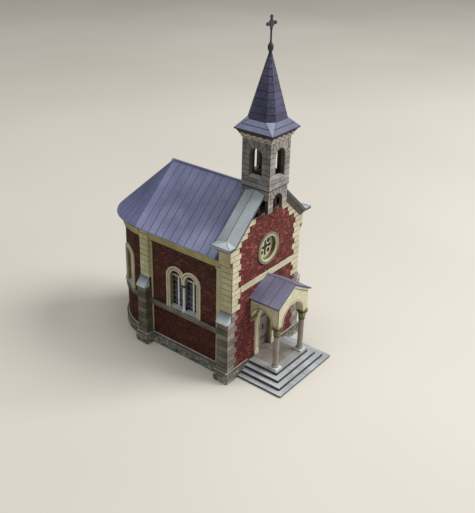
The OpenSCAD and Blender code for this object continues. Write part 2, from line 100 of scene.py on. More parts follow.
# Roof
SLOPE = 0.925
ROOF_T = 2.0
RIDGE_Z = high("apse_roof").z
EAVE_HALF = high("right_roof").x
EAVE_Z = RIDGE_Z - SLOPE * EAVE_HALF
EAVE_EDGE = 0.6
REAR_HEAD_Z = RIDGE_Z - SLOPE * UPPER_HALF - ROOF_T
CORNICE_FOOT = 0.6
CORNICE_OUT = EAVE_HALF - 0.9
CORNICE_TOP = RIDGE_Z - SLOPE * CORNICE_OUT - ROOF_T - CORNICE_FOOT
CORNICE_LEAN = (CORNICE_OUT - WALL_HALF - CORNICE_FOOT) / (CORNICE_TOP - WALL_TOP)
COPE_GAP = 2.6
MOULD_H = 4.6
COPE_T = 1.2
COPE_FOLD = 1.8
COPE_Y0 = low("left_coping").y
COPE_Y1 = high("left_coping").y
COPE_Y = (COPE_Y0 + COPE_Y1) / 2
FOOT_X = WALL_HALF + 2.6
TIP_X = high("right_coping").x

# Windows
SILL_Z = high("sill_bands").z
BAND_Z = low("sill_bands").z
BAND_HALF = high("sill_bands").x
LIGHT_HALF = 4.4
LIGHT_SET = 5.45
FRAME_W = 2.35
LIGHT_SPRING = high("side_window_surrounds").z - LIGHT_HALF - FRAME_W
CAPITAL_Z = high("window_colonnettes").z
WINDOW_Y = (low("side_window_surrounds").y + high("side_window_surrounds").y) / 2
PANE_HALF = WALL_HALF - 2.2
APSE_WINDOWS = [math.radians(a) for a in (26, 90, 154)]
OCULUS_Z = (low("oculus_ring").z + high("oculus_ring").z) / 2
OCULUS_OUTER = high("oculus_ring").x
OCULUS_R = high("oculus_glass").x
TRACERY_Y = low("oculus_tracery").y
BAND_FRONT_LOW = low("front_band").z
BAND_FRONT_TOP = high("front_band").z

# Door and porch
DOOR_HALF = high("right_door").x
DOOR_TOP = high("right_door").z
DOOR_SPRING = DOOR_TOP - DOOR_HALF
DOOR_Y = low("right_door").y
DOOR_FRAME = high("door_surround").x
PORCH_FRONT = low("porch_front").y
PORCH_HALF = high("porch_front").x
PORCH_SPRING = low("porch_front").z
PORCH_ARCH_R = 9.2
PORCH_SLOPE = 0.566
PORCH_ROOF_T = 0.8
PORCH_RIDGE = high("right_porch_roof").z
PORCH_EAVE = high("right_porch_roof").x
PORCH_ROOF_Y = low("right_porch_roof").y
PORCH_SIDE_R = 6.3
PORCH_SIDE_Y = -7.7
COLUMN_X = 11.6
COLUMN_Y = -16.6
NECK_Z = PORCH_SPRING - 6.6
PLATFORM_HALF = high("platform").x
PLATFORM_FRONT = low("platform").y
TREAD = 3.15

# Turret
TURRET_Y = FRONT_T / 2
TURRET_HALF = high("turret_sides").x
TURRET_LOW = TURRET_HALF - 0.4
LEG_Z = low("turret_front").z
STRING_Z = low("turret_floor").z
SHAFT_Z = low("turret_frieze").z
FRIEZE_Z = high("turret_frieze").z
FRIEZE_HALF = high("turret_frieze").x
BELL_HALF = 3.9
BELL_SILL = STRING_Z + 5.7
BELL_SPRING = SHAFT_Z - 7.9
LOW_ARCH_HALF = 3.9
LOW_ARCH_SPRING = STRING_Z - 7.1
SKIRT_HALF = high("spire_skirt").x
SKIRT_LIP_Z = FRIEZE_Z + 0.5
SPIRE_Z = low("spire").z
SPIRE_TOP = high("spire").z
SPIRE_HALF = high("spire").x
SPIRE_CORNER = SPIRE_HALF * 0.59
SPIRE_TIP = 0.05
CROSS_Z = low("cross").z + 3


# Places on the walls and roofs

def sheet(origin, across, up):
    """Places width, height and depth on a plane: across it, up it and out of it."""
    origin = Vector(origin)
    across = Vector(across).normalized()
    up = Vector(up).normalized()
    out = across.cross(up)

    def place(u, v, d):
        return at(*(origin + across * u + up * v + out * d))
    return place


def wall(x, y, out_x, out_y):
    """An upright plane through a point, which faces out."""
    return sheet((x, y, 0), (-out_y, out_x, 0), (0, 0, 1))


def level(z):
    """A level plane at a height, which faces up."""
    return sheet((0, 0, z), (1, 0, 0), (0, 1, 0))


def apse(radius):
    """A round wall on the apse, with its width measured along the curve from the right end."""
    def place(u, v, d):
        turn = u / radius
        return at((radius + d) * math.cos(turn), APSE_Y + (radius + d) * math.sin(turn), v)
    return place


def cornice_face(place):
    """The leaning face of the cornice over a wall, with heights from its foot."""
    def lean(u, v, d):
        return place(u, WALL_TOP + v, CORNICE_FOOT + CORNICE_LEAN * v + d)
    return lean


facade = wall(0, 0, 0, -1)
left_side = wall(-WALL_HALF, 0, -1, 0)
right_side = wall(WALL_HALF, 0, 1, 0)


def shrunk(outline, by):
    """An outline with its edges moved inwards."""
    points = [Vector(p) for p in outline]
    result = []
    for i, point in enumerate(points):
        before = (point - points[i - 1]).normalized()
        after = (points[(i + 1) % len(points)] - point).normalized()
        inwards = Vector((-before.y - after.y, before.x + after.x))
        result.append(point + inwards * (2 * by / max(inwards.length_squared, 0.5)))
    return result


def rect(u0, v0, u1, v1, gap=0):
    """A rectangle between two corners, drawn in all round by a gap."""
    return [(u0 + gap, v0 + gap), (u1 - gap, v0 + gap), (u1 - gap, v1 - gap), (u0 + gap, v1 - gap)]


def span(sign, a, b):
    """The ends of a stretch of width in order, mirrored where the sign is negative."""
    return sorted((sign * a, sign * b))


def facing(outline, sign):
    """An outline whose widths were multiplied by a sign, turned round where that mirrored it."""
    return outline if sign > 0 else outline[::-1]


def circle(count):
    """Turns that divide a circle."""
    return [2 * math.pi * i / count for i in range(count)]


def rounded(u, v, half_u, half_v, count=12):
    return [(u + half_u * math.cos(t), v + half_v * math.sin(t)) for t in circle(count)]


def arch_half(z, half, spring):
    """Half the width of a round arch at a height."""
    if z <= spring:
        return half
    return math.sqrt(max(0, half * half - (z - spring) ** 2))


def arch_path(centre, half, foot, spring, steps=20):
    """Round-headed path, up its right side, over its arch and down its left side."""
    turns = [math.pi * i / steps for i in range(steps + 1)]
    arc = [Vector((centre + half * math.cos(t), spring + half * math.sin(t))) for t in turns]
    return [Vector((centre + half, foot))] + arc + [Vector((centre - half, foot))]


class Shape:
    """Faces gathered into one piece, each with a tone from 0, dark, to 1, light."""

    def __init__(self):
        self.points = []
        self.faces = []
        self.tones = []

    def loft(self, rings, tone=0.5, first_end=False, last_end=True):
        """Skins a run of rings that have the same number of points."""
        start = len(self.points)
        count = len(rings[0])
        last = start + (len(rings) - 1) * count
        for ring in rings:
            self.points += ring
        for base in range(start, last, count):
            for i in range(count):
                j = (i + 1) % count
                self.faces.append((base + i, base + j, base + count + j, base + count + i))
        if first_end:
            self.faces.append(tuple(range(start + count - 1, start - 1, -1)))
        if last_end:
            self.faces.append(tuple(range(last, last + count)))
        self.tones += [tone] * (len(self.faces) - len(self.tones))

    def run(self, rings, closed):
        """Skins a run of rings that closes on itself, or has an end at both sides."""
        self.loft(rings + rings[:1] if closed else rings, first_end=not closed, last_end=not closed)

    def block(self, outline, place, top, bevel=0.1, tone=0.5, foot=-0.05):
        """A block that stands out of a surface, with its edges taken off."""
        side = top - bevel * 0.6
        self.loft([[place(u, v, foot) for u, v in outline],
                   [place(u, v, side) for u, v in outline],
                   [place(u, v, top) for u, v in shrunk(outline, bevel)]], tone)

    def tile(self, outline, place, top, bevel=0.06, tone=0.5):
        """A low block with leaning sides, for work of many pieces."""
        self.loft([[place(u, v, -0.02) for u, v in outline],
                   [place(u, v, top) for u, v in shrunk(outline, bevel)]], tone)

    def tube(self, points, radius, sides=8, closed=False):
        """A round bar along points in the frame, in metres."""
        rings = []
        count = len(points)
        for i, point in enumerate(points):
            after = points[(i + 1) % count] if closed or i < count - 1 else point
            before = points[i - 1] if closed or i > 0 else point
            along = (after - before).normalized()
            side = along.cross(Vector((0.31, 0.17, 0.94))).normalized()
            up = side.cross(along)
            rings.append([point + (side * math.cos(t) + up * math.sin(t)) * radius * MM
                          for t in circle(sides)])
        self.run(rings, closed)

    def turned(self, outline, x, y):
        """A turned shape on an upright axis, from its radius and height at each point."""
        rings = [[at(x + r * math.cos(t), y + r * math.sin(t), z) for t in circle(24)] for r, z in outline]
        self.run(rings, closed=False)

    def arc_band(self, place, u, v, inner, outer, top, steps, bevel=0.12):
        """A moulded band along a half circle."""
        section = [(inner, -0.05), (inner, top - bevel), (inner + bevel, top), (outer - bevel, top),
                   (outer, top - bevel), (outer, -0.05)]
        rings = []
        for i in range(steps + 1):
            t = math.radians(180.0 * i / steps)
            rings.append([place(u + r * math.cos(t), v + r * math.sin(t), d) for r, d in section])
        self.run(rings, closed=False)

    def moulding(self, place, path, section, closed=False):
        """Runs a section along a path: offsets to the left of the path, and depths."""
        rings = []
        last = len(path) - 1
        for i, point in enumerate(path):
            before = point - path[i - 1] if closed or i > 0 else path[1] - point
            after = path[(i + 1) % len(path)] - point if closed or i < last else before
            normals = [Vector((-v.y, v.x)).normalized() for v in (before, after)]
            side = normals[0] + normals[1]
            side *= 2 / max(side.length_squared, 1.0)
            rings.append([place(point.x + side.x * o, point.y + side.y * o, d) for o, d in section])
        self.run(rings, closed)


# Materials

def srgb(red, green, blue):
    """A colour's linear values, from its values on screen."""
    return tuple(((c / 255 + 0.055) / 1.055) ** 2.4 if c > 10 else c / 255 / 12.92
                 for c in (red, green, blue)) + (1.0,)


PAINTS = {}


class Nodes:
    """A new material and the few node chains that all the surfaces share."""

    def __init__(self, name):
        self.material = bpy.data.materials.new(name)
        PAINTS[name] = self.material
        self.material.use_nodes = True
        self.tree = self.material.node_tree
        self.shader = self.tree.nodes["Principled BSDF"]
        self.place = self.add("ShaderNodeTexCoord").outputs["Object"]

    def add(self, kind, **settings):
        node = self.tree.nodes.new(kind)
        for key, value in settings.items():
            setattr(node, key, value)
        return node

    def link(self, output, node_input):
        self.tree.links.new(output, node_input)

    def feed(self, node, values):
        """Links each output to an input of a node, and sets the inputs that are given plain values."""
        for key, value in values.items():
            if isinstance(value, bpy.types.NodeSocket):
                self.link(value, node.inputs[key])
            else:
                node.inputs[key].default_value = value

    def noise(self, scale, detail=3.0, stretch=None):
        node = self.add("ShaderNodeTexNoise")
        place = self.place
        if stretch:
            mapping = self.add("ShaderNodeMapping")
            self.feed(mapping, {"Vector": place, "Scale": stretch})
            place = mapping.outputs["Vector"]
        self.feed(node, {"Vector": place, "Scale": scale, "Detail": detail})
        return node.outputs[0]

    def ramp(self, value, stops):
        node = self.add("ShaderNodeValToRGB")
        ends = node.color_ramp.elements
        while len(ends) < len(stops):
            ends.new(0.5)
        for element, (spot, colour) in zip(ends, stops):
            element.position = spot
            element.color = colour
        self.link(value, node.inputs["Fac"])
        return node.outputs["Color"]

    def spread(self, value, from_low, from_high, to_low, to_high):
        node = self.add("ShaderNodeMapRange")
        self.feed(node, {"Value": value, "From Min": from_low, "From Max": from_high,
                         "To Min": to_low, "To Max": to_high})
        return node.outputs["Result"]

    def math(self, operation, a, b):
        node = self.add("ShaderNodeMath", operation=operation)
        self.feed(node, {0: a, 1: b})
        return node.outputs[0]

    def mix(self, share, a, b, blend="MIX"):
        node = self.add("ShaderNodeMix", data_type="RGBA", blend_type=blend)
        self.feed(node, {0: share, 6: a, 7: b})
        return node.outputs[2]

    def scaled(self, colour, value):
        node = self.add("ShaderNodeVectorMath", operation="SCALE")
        self.feed(node, {0: colour, "Scale": value})
        return node.outputs[0]

    def edges(self, width):
        """Marks the edges of the shape, where paint rubs off."""
        bevel = self.add("ShaderNodeBevel", samples=4)
        bevel.inputs["Radius"].default_value = width * MM
        flat = self.add("ShaderNodeNewGeometry").outputs["Normal"]
        dot = self.add("ShaderNodeVectorMath", operation="DOT_PRODUCT")
        self.feed(dot, {0: bevel.outputs["Normal"], 1: flat})
        return self.spread(dot.outputs["Value"], 0.98, 0.75, 0.0, 1.0)

    def height(self):
        parts = self.add("ShaderNodeSeparateXYZ")
        self.link(self.place, parts.inputs[0])
        return parts.outputs["Z"]

    def bump(self, value, depth, strength=0.6):
        node = self.add("ShaderNodeBump")
        self.feed(node, {"Height": value, "Strength": strength, "Distance": depth * MM})
        self.feed(self.shader, {"Normal": node.outputs["Normal"]})


def surface(name, colours, patch, grain, tone=0.0, wear=None, rough=(0.6, 0.9), depth=0.05, stretch=None,
            heights=None):
    """Printed card: patchy colour, fine grain, a tone for each block and rubbed edges."""
    made = Nodes(name)
    dark, middle, light = (srgb(*c) for c in colours)
    broad = made.noise(patch, 4.0, stretch)
    fine = made.noise(grain, 2.0, stretch)
    blend = made.math("ADD", made.math("MULTIPLY", broad, 0.6), made.math("MULTIPLY", fine, 0.4))
    colour = made.ramp(blend, [(0.36, dark), (0.5, middle), (0.64, light)])
    if heights:
        bands = made.ramp(made.spread(made.height(), 0, heights[-1][0] * MM, 0, 1),
                          [(z / heights[-1][0], srgb(*c)) for z, c in heights])
        colour = made.mix(1.0, colour, bands, "MULTIPLY")
    if tone:
        blocks = made.add("ShaderNodeAttribute", attribute_name="tone").outputs["Fac"]
        colour = made.scaled(colour, made.spread(blocks, 0, 1, 1 - tone, 1 + tone))
    if wear:
        worn = made.math("MULTIPLY", made.edges(0.25), made.spread(fine, 0.4, 0.65, 0.0, 0.7))
        colour = made.mix(worn, colour, srgb(*wear))
    made.feed(made.shader, {"Base Color": colour, "Roughness": made.spread(fine, 0.3, 0.7, *rough),
                            "Specular IOR Level": 0.3})
    made.bump(blend, depth)


def fade(foot, z0, z1, head, top):
    """Colours by height: one up to a height, another from a second height to the top."""
    return [(0, foot), (z0, foot), (z1, head), (top, head)]


CREAM = ((190, 184, 152), (208, 203, 174), (222, 218, 194))
CREAM_WORN = (232, 229, 210)
BAR_PAINT = ((206, 208, 206), (222, 224, 222), (234, 236, 234))
WHITE = (255, 255, 255)
SHEET_ROUGH = (0.45, 0.7)
COPING_ROUGH = (0.4, 0.65)
# Painted shade: the side brick and its joints darken towards the foot of the walls, fading out 8 mm above
# the sills.
SIDE_FOOT_SHADE = fade((242, 214, 194), BAND_Z, SILL_Z + 8, WHITE, RIDGE_Z)
HEAD_FADE = fade((147, 116, 139), WALL_TOP + HEAD_H - 0.05, WALL_TOP + HEAD_H, WHITE, RIDGE_Z)
PIER_FADE = fade((150, 150, 160), CAP_TOP - 0.2, CAP_TOP, WHITE, CAP_TOP + 80)
SPIRE_FADE = fade((224, 224, 224), SPIRE_Z, SPIRE_Z + 10, WHITE, SPIRE_TOP)
COLONNETTE_FADE = fade(WHITE, CAPITAL_Z - 2.05, CAPITAL_Z - 1.95, (104, 98, 78), CAPITAL_Z)
# Painted shade: the roof sheets darken from a little above the eaves towards the ridge.
ROOF_RIDGE_SHADE = [(0, WHITE), (EAVE_Z + 3, WHITE), (EAVE_Z + 14, (206, 206, 210)),
             (RIDGE_Z + 2, (206, 208, 213))]
# Painted shade: the pier caps darken towards their tops.
CAP_TOP_SHADE = [(0, WHITE), (PIER_CAP_Z + 1.5, WHITE), (CAP_TOP - 1, (170, 172, 178)),
            (CAP_TOP, (150, 152, 160))]
# Painted shade: the porch sides are dark olive below the spring of their arches, over the corbels.
PORCH_LOW_SHADE = [(0, (150, 138, 110)), (PORCH_SPRING, (150, 138, 110)),
              (PORCH_SPRING + 0.5, (244, 240, 228)), (PORCH_RIDGE, WHITE)]
# Column colours by height: pale bases, grey-beige shafts, and an olive capital whose bell is darkened as
# painted shade in the hollows behind the leaves.
COLUMN_FADE = [(0, (246, 252, 255)), (WALL_Z + 1.1, (246, 252, 255)), (WALL_Z + 1.3, (183, 178, 174)),
               (NECK_Z - 0.5, (183, 178, 174)), (NECK_Z + 0.2, (84, 78, 52)),
               (PORCH_SPRING - 1.4, (98, 91, 62)), (PORCH_SPRING, (196, 190, 146))]

surface("brick_face", ((60, 12, 13), (86, 20, 20), (114, 37, 35)), 260, 2400, 0.38, (176, 122, 112),
        depth=0.04)
surface("brick_pale", ((110, 46, 43), (134, 62, 57), (160, 86, 80)), 260, 2400, 0.4, (190, 136, 126),
        depth=0.04)
surface("brick_joint", ((128, 80, 75), (151, 98, 92), (174, 124, 117)), 300, 2400)
# Painted shade: the brick, pale brick and joints of the long walls, the apse, the gable's rear and the
# courses under the eaves are darker copies of the front's, for faces turned from the light.
surface("brick_side", ((46, 13, 10), (66, 20, 16), (88, 34, 27)), 260, 2400, 0.5, (126, 90, 76),
        depth=0.04, heights=SIDE_FOOT_SHADE)
surface("side_pale", ((70, 33, 26), (89, 46, 37), (112, 67, 54)), 260, 2400, 0.4, (150, 114, 98),
        depth=0.04, heights=SIDE_FOOT_SHADE)
surface("side_joint", ((72, 50, 40), (90, 66, 53), (112, 88, 72)), 300, 2400, heights=SIDE_FOOT_SHADE)
surface("cream_stone", CREAM, 120, 1500, wear=CREAM_WORN)
surface("cream_block", CREAM, 120, 1500, 0.07, CREAM_WORN)
# Painted shade: a darker copy of the cream for the piers' faces other than the front, the kneelers and the
# strips beside the piers.
surface("cream_side", ((168, 164, 126), (186, 182, 145), (202, 199, 166)), 120, 1500, 0.07,
        (216, 213, 186))
# Painted shade: the linings of the windows and the door are a dark olive cream, for the shade inside the
# openings.
surface("reveal_shade", ((112, 104, 70), (134, 126, 88), (156, 148, 108)), 160, 1500,
        wear=(190, 184, 146))
# Painted shade: dark olive for the shade in the grooves round the windows and inside the oculus's ring.
surface("groove_shade", ((92, 84, 54), (112, 104, 70), (134, 126, 90)), 160, 1500, wear=(160, 152, 116))
surface("eye_paint", ((112, 108, 90), (134, 130, 110), (156, 152, 132)), 160, 1500, wear=(196, 191, 170))
surface("eye_dark", ((24, 21, 18), (34, 30, 26), (48, 43, 38)), 200, 1500, rough=(0.2, 0.4))
# Painted shade: dark lines and bands for the shadows under the turret's string course, under the spire's
# skirt and round the porch's mouldings.
surface("shade_line", ((46, 42, 36), (62, 57, 49), (80, 74, 64)), 200, 1500, wear=(110, 104, 92))
# Painted shade: the cornice is a darker cream for the shade of the eaves over it. Below the top of the
# brick courses laid on it, it is darkened towards a brick tone.
surface("cornice_shade", ((144, 135, 90), (160, 151, 105), (176, 167, 122)), 120, 1500,
        wear=(206, 199, 158), heights=HEAD_FADE)
surface("porch_stone", CREAM, 120, 1500, wear=CREAM_WORN, heights=PORCH_LOW_SHADE)
# Painted light: a lighter copy of the cream for the door surround, standing in for light that reaches it
# under the porch.
surface("jamb_lit_stone", ((206, 198, 164), (226, 219, 188), (238, 233, 208)), 120, 1500,
        wear=(244, 241, 224))
surface("stone_joint", ((66, 60, 44), (82, 75, 56), (98, 90, 70)), 160, 1500, heights=PIER_FADE)
surface("grey_block", ((122, 114, 108), (143, 135, 129), (163, 155, 149)), 150, 1300, 0.3,
        (190, 184, 178))
# Painted shade: a darker copy of the grey stone for the lower piers' faces other than the front.
surface("grey_side", ((80, 78, 66), (102, 100, 86), (122, 120, 105)), 150, 1300, 0.34, (150, 148, 132))
surface("grey_band", ((92, 90, 80), (112, 110, 99), (130, 128, 117)), 150, 1300, 0.2, (160, 158, 148))
surface("grey_mould", ((66, 62, 54), (84, 80, 71), (102, 98, 88)), 150, 1300, wear=(130, 126, 116))
surface("ledge_stone", ((78, 76, 69), (96, 94, 86), (114, 112, 104)), 150, 1300, 0.25, (150, 148, 140))
surface("ledge_pale", ((176, 178, 172), (194, 196, 190), (210, 212, 206)), 150, 1300,
        wear=(226, 228, 222))
surface("rake_stone", ((110, 100, 93), (134, 123, 115), (156, 145, 137)), 150, 1300, 0.3, (176, 167, 159))
surface("rubble_stone", ((98, 98, 90), (134, 133, 124), (166, 165, 156)), 300, 1500, 0.36,
        (196, 195, 186), depth=0.12)
surface("rubble_joint", ((34, 34, 31), (46, 45, 41), (60, 59, 54)), 300, 1500)
surface("roof_sheet", ((120, 125, 159), (137, 142, 177), (153, 158, 191)), 70, 1700, 0.28,
        (170, 172, 194), SHEET_ROUGH, 0.03, heights=ROOF_RIDGE_SHADE)
# Painted shade: a darker, bluer copy of the roof sheet for the curved apse roof.
surface("apse_sheet", ((109, 115, 155), (124, 130, 172), (139, 145, 186)), 70, 1700, 0.28,
        (156, 160, 190), SHEET_ROUGH, 0.03, heights=ROOF_RIDGE_SHADE)
surface("roof_seam", ((62, 62, 88), (76, 76, 104), (94, 94, 122)), 90, 1500, wear=(126, 128, 152),
        rough=SHEET_ROUGH)
surface("porch_sheet", ((98, 96, 121), (113, 111, 136), (128, 126, 148)), 70, 1700, 0.1, (160, 160, 180),
        SHEET_ROUGH, 0.03)
surface("coping_sheet", ((142, 151, 156), (159, 168, 173), (175, 183, 187)), 80, 1700,
        wear=(214, 220, 224), rough=COPING_ROUGH, depth=0.03)
surface("coping_seam", ((58, 64, 70), (76, 82, 88), (98, 104, 110)), 90, 1700, wear=(150, 156, 162),
        rough=SHEET_ROUGH)
surface("cap_sheet", ((168, 178, 186), (184, 193, 200), (200, 208, 214)), 80, 1700, wear=(220, 225, 229),
        rough=COPING_ROUGH, depth=0.03, heights=CAP_TOP_SHADE)
surface("slate", ((62, 62, 86), (78, 77, 103), (94, 93, 119)), 90, 1500, 0.12, (128, 128, 152),
        (0.45, 0.75), 0.04, heights=SPIRE_FADE)
surface("slate_seam", ((40, 39, 56), (52, 50, 68), (66, 64, 84)), 90, 1500, wear=(96, 94, 116))
surface("skirt_sheet", ((107, 111, 136), (120, 124, 150), (133, 137, 162)), 90, 1500, 0.32,
        (190, 194, 212), SHEET_ROUGH, 0.03)
surface("turret_block", ((128, 123, 121), (152, 146, 143), (173, 167, 164)), 150, 1300, 0.18,
        (198, 193, 190))
# Painted shade: a darker, greyer copy of the turret stone for its side faces.
surface("turret_side", ((104, 104, 103), (126, 125, 124), (145, 145, 144)), 150, 1300, 0.18,
        (172, 170, 165))
surface("bell_paint", ((82, 68, 60), (102, 86, 77), (122, 106, 96)), 160, 1500, wear=(150, 138, 128))
# Dark ground between the turret's stones, also used as painted shade on the gable's level top.
surface("turret_joint_and_shade", ((46, 40, 36), (60, 53, 48), (76, 68, 62)), 150, 1300)
surface("step_top", ((150, 154, 157), (168, 172, 175), (185, 189, 192)), 120, 1500, 0.06, (208, 210, 212))
# Painted shade: the risers of the steps and the platform are dark grey, for their shaded faces.
surface("step_riser_shade", ((62, 62, 66), (76, 76, 81), (92, 92, 97)), 140, 1500, wear=(126, 126, 131))
surface("porch_floor", ((116, 111, 107), (132, 127, 122), (148, 143, 138)), 120, 1500, 0.08,
        (174, 170, 165))
surface("porch_border", ((134, 135, 134), (150, 151, 150), (166, 167, 166)), 120, 1500, 0.06,
        (190, 191, 190))
surface("base_pale", ((190, 200, 204), (207, 216, 219), (222, 229, 231)), 160, 1500, wear=(236, 240, 241))
surface("door_board", ((146, 133, 134), (164, 151, 152), (180, 168, 169)), 160, 1400, 0.1,
        (200, 191, 192), stretch=(1, 1, 0.15))
surface("iron", ((26, 24, 28), (38, 36, 42), (56, 54, 60)), 300, 1800, wear=(96, 94, 100),
        rough=(0.4, 0.7))
surface("dark_metal", ((44, 42, 54), (58, 55, 68), (76, 73, 88)), 300, 1800, wear=(120, 118, 132),
        rough=(0.4, 0.65))
surface("bar_white", BAR_PAINT, 200, 1500, wear=(246, 246, 244))
surface("colonnette_paint", BAR_PAINT, 200, 1500, wear=(246, 246, 244), heights=COLONNETTE_FADE)
surface("bar_grey", ((104, 104, 120), (124, 124, 140), (146, 146, 160)), 200, 1500, wear=(176, 176, 186))
surface("sill_slab", ((138, 148, 154), (154, 163, 169), (170, 178, 183)), 150, 1500, 0.06,
        (224, 228, 230))
surface("bell_slab", ((136, 141, 142), (156, 161, 162), (175, 180, 181)), 150, 1500, 0.06,
        (184, 190, 192))
surface("leaf_stone", ((118, 112, 72), (156, 150, 106), (190, 184, 142)), 300, 1600, 0.25,
        (196, 191, 154))
surface("ornament_pale", ((190, 180, 172), (214, 205, 198), (230, 223, 217)), 200, 1600, 0.05,
        (240, 235, 230))
surface("frieze_ground", ((64, 58, 51), (82, 75, 67), (100, 92, 83)), 200, 1500, wear=(136, 128, 117))
surface("column_stone", ((196, 190, 180), (214, 208, 198), (228, 223, 214)), 160, 1500,
        wear=(226, 224, 214), heights=COLUMN_FADE)


def pane():
    """Dark leaded glass with a faint violet bloom."""
    made = Nodes("dark_glass")
    bloom = made.ramp(made.noise(260, 3.0), [(0.35, srgb(12, 10, 18)), (0.5, srgb(26, 22, 38)),
                                             (0.68, srgb(48, 42, 66))])
    made.feed(made.shader, {"Base Color": bloom,
                            "Roughness": made.spread(made.noise(900), 0.3, 0.7, 0.12, 0.32)})
    made.bump(made.noise(500), 0.05, 0.4)


pane()

NODE_MATERIALS = {
    "rubble_joint": ["plinth"],
    "porch_floor": ["nave_floor"],
    "brick_joint": ["front_wall"],
    "side_joint": ["left_wall", "right_wall", "apse_wall"],
    "stone_joint": ["front_piers", "rear_piers"],
    "coping_sheet": ["left_coping", "right_coping"],
    "cap_sheet": ["pier_caps"],
    "rake_stone": ["gable_mouldings"],
    "grey_mould": ["sill_bands"],
    "cornice_shade": ["eaves_cornice"],
    "cream_stone": ["side_window_surrounds", "apse_window_surrounds", "oculus_ring", "oculus_tracery",
                    "front_band", "porch_front"],
    "porch_stone": ["porch_sides"],
    "jamb_lit_stone": ["door_surround"],
    "colonnette_paint": ["window_colonnettes"],
    "dark_glass": ["window_glass", "oculus_glass"],
    "door_board": ["left_door", "right_door"],
    "roof_seam": ["left_roof", "right_roof", "apse_roof", "left_porch_roof", "right_porch_roof"],
    "turret_joint_and_shade": ["turret_front", "turret_sides", "turret_back", "turret_floor"],
    "frieze_ground": ["turret_frieze"],
    "slate_seam": ["spire_skirt", "spire"],
    "dark_metal": ["finial", "cross"],
    "column_stone": ["porch_columns"],
    "step_riser_shade": ["steps", "platform"],
}
for material, names in NODE_MATERIALS.items():
    for name in names:
        mesh = nodes[name].data
        mesh.materials.clear()
        mesh.materials.append(PAINTS[material])


def piece(name, shape, material, slot, smooth=None):
    """A new mesh on the body, with the tone of each face kept for its material."""
    mesh = bpy.data.meshes.new(name)
    mesh.from_pydata(shape.points, [], shape.faces)
    tone = mesh.attributes.new("tone", "FLOAT", "FACE")
    tone.data.foreach_set("value", shape.tones)
    mesh.materials.append(PAINTS[material])
    if smooth:
        mesh.shade_smooth()
        mesh.set_sharp_from_angle(angle=math.radians(smooth))
    mesh.update()
    thing = bpy.data.objects.new(name, mesh)
    bpy.context.collection.objects.link(thing)
    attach(thing, "root")


def dress(fill, *looks):
    """Fills a shape for each look, and makes a piece of it: name, material, slot and smoothing angle. The
    slot is not used.
    """
    shapes = [Shape() for look in looks]
    fill(*shapes)
    for shape, (name, *look) in zip(shapes, looks):
        piece(name, shape, *look)


# Brickwork

COURSE = 0.86
BRICK = 2.2
PALE_SHARE = 0.22
BRICK_JOINT = 0.15
BRICK_END = 0.28
BRICK_OUT = 0.12
BRICK_STOP = LIGHT_HALF + 1.2
RING_LAP = 1.2
RAKE_LAP = 1.4
SIDE_START = FRONT_T + 2
SIDE_END = REAR_Y0 + 1


def without(spans, u0, u1):
    """Spans with a stretch taken out."""
    kept = []
    for a, b in spans:
        if a < u0:
            kept.append((a, min(b, u0)))
        if b > u1:
            kept.append((max(a, u1), b))
    return kept


def courses(shape, pale, place, spans, z0, z1):
    """Lays bricks in half bond over the spans of width that are free at each height, a few of them pale."""
    count = round((z1 - z0) / COURSE)
    rise = (z1 - z0) / count
    gap = BRICK_JOINT / 2
    end = BRICK_END / 2
    for row in range(count):
        z = z0 + row * rise
        shift = (row % 2 / 2 + rng.uniform(-0.1, 0.1)) * BRICK
        for u0, u1 in spans(z + rise / 2):
            for k in range(math.floor((u0 - shift) / BRICK), math.ceil((u1 - shift) / BRICK)):
                a = max(u0, shift + k * BRICK) + end
                b = min(u1, shift + (k + 1) * BRICK) - end
                if b - a > 4 * gap:
                    made = pale if rng.random() < PALE_SHARE else shape
                    brick = rect(a, z + gap, b, z + rise - gap)
                    made.tile(brick, place, BRICK_OUT * rng.uniform(0.8, 1.2), 0.05, rng.random())


def rake(z):
    """Half the width of the gable wall at a height."""
    return min(WALL_HALF, (RIDGE_Z + COPE_GAP - z) / SLOPE)


def facade_spans(z):
    """Spans of the front, beside the door and the round window."""
    spans = [(-rake(z) + RAKE_LAP, rake(z) - RAKE_LAP)]
    door = arch_half(z, (DOOR_HALF + DOOR_FRAME) / 2, DOOR_SPRING)
    if z < DOOR_TOP + 1:
        spans = without(spans, -door, door)
    reach = OCULUS_OUTER - RING_LAP
    if abs(z - OCULUS_Z) < reach:
        half = math.sqrt(reach ** 2 - (z - OCULUS_Z) ** 2)
        spans = without(spans, -half, half)
    return spans


def side_spans(sign):
    """Spans of a long wall, whose width runs towards the rear on the right and the front on the left."""
    def spans(z):
        kept = [span(sign, SIDE_START, SIDE_END)]
        if not SILL_Z < z < LIGHT_SPRING + BRICK_STOP:
            return kept
        middle = sign * WINDOW_Y
        half = arch_half(z, BRICK_STOP, LIGHT_SPRING)
        for centre in (middle - LIGHT_SET, middle + LIGHT_SET):
            kept = without(kept, centre - half, centre + half)
        if z < LIGHT_SPRING:
            kept = without(kept, middle - LIGHT_SET, middle + LIGHT_SET)
        return kept
    return spans


def apse_spans(z):
    """Spans of the round wall, beside its windows."""
    kept = [(0.0, math.pi * WALL_HALF)]
    if SILL_Z < z < LIGHT_SPRING + BRICK_STOP:
        half = arch_half(z, BRICK_STOP, LIGHT_SPRING)
        for turn in APSE_WINDOWS:
            kept = without(kept, turn * WALL_HALF - half, turn * WALL_HALF + half)
    return kept


def gable_rear_spans(z):
    """Strips of the gable's rear face that show over the roof."""
    inner = (RIDGE_Z - z) / SLOPE
    outer = rake(z) - 0.1
    return [(-outer, -inner), (inner, outer)] if inner < outer else []


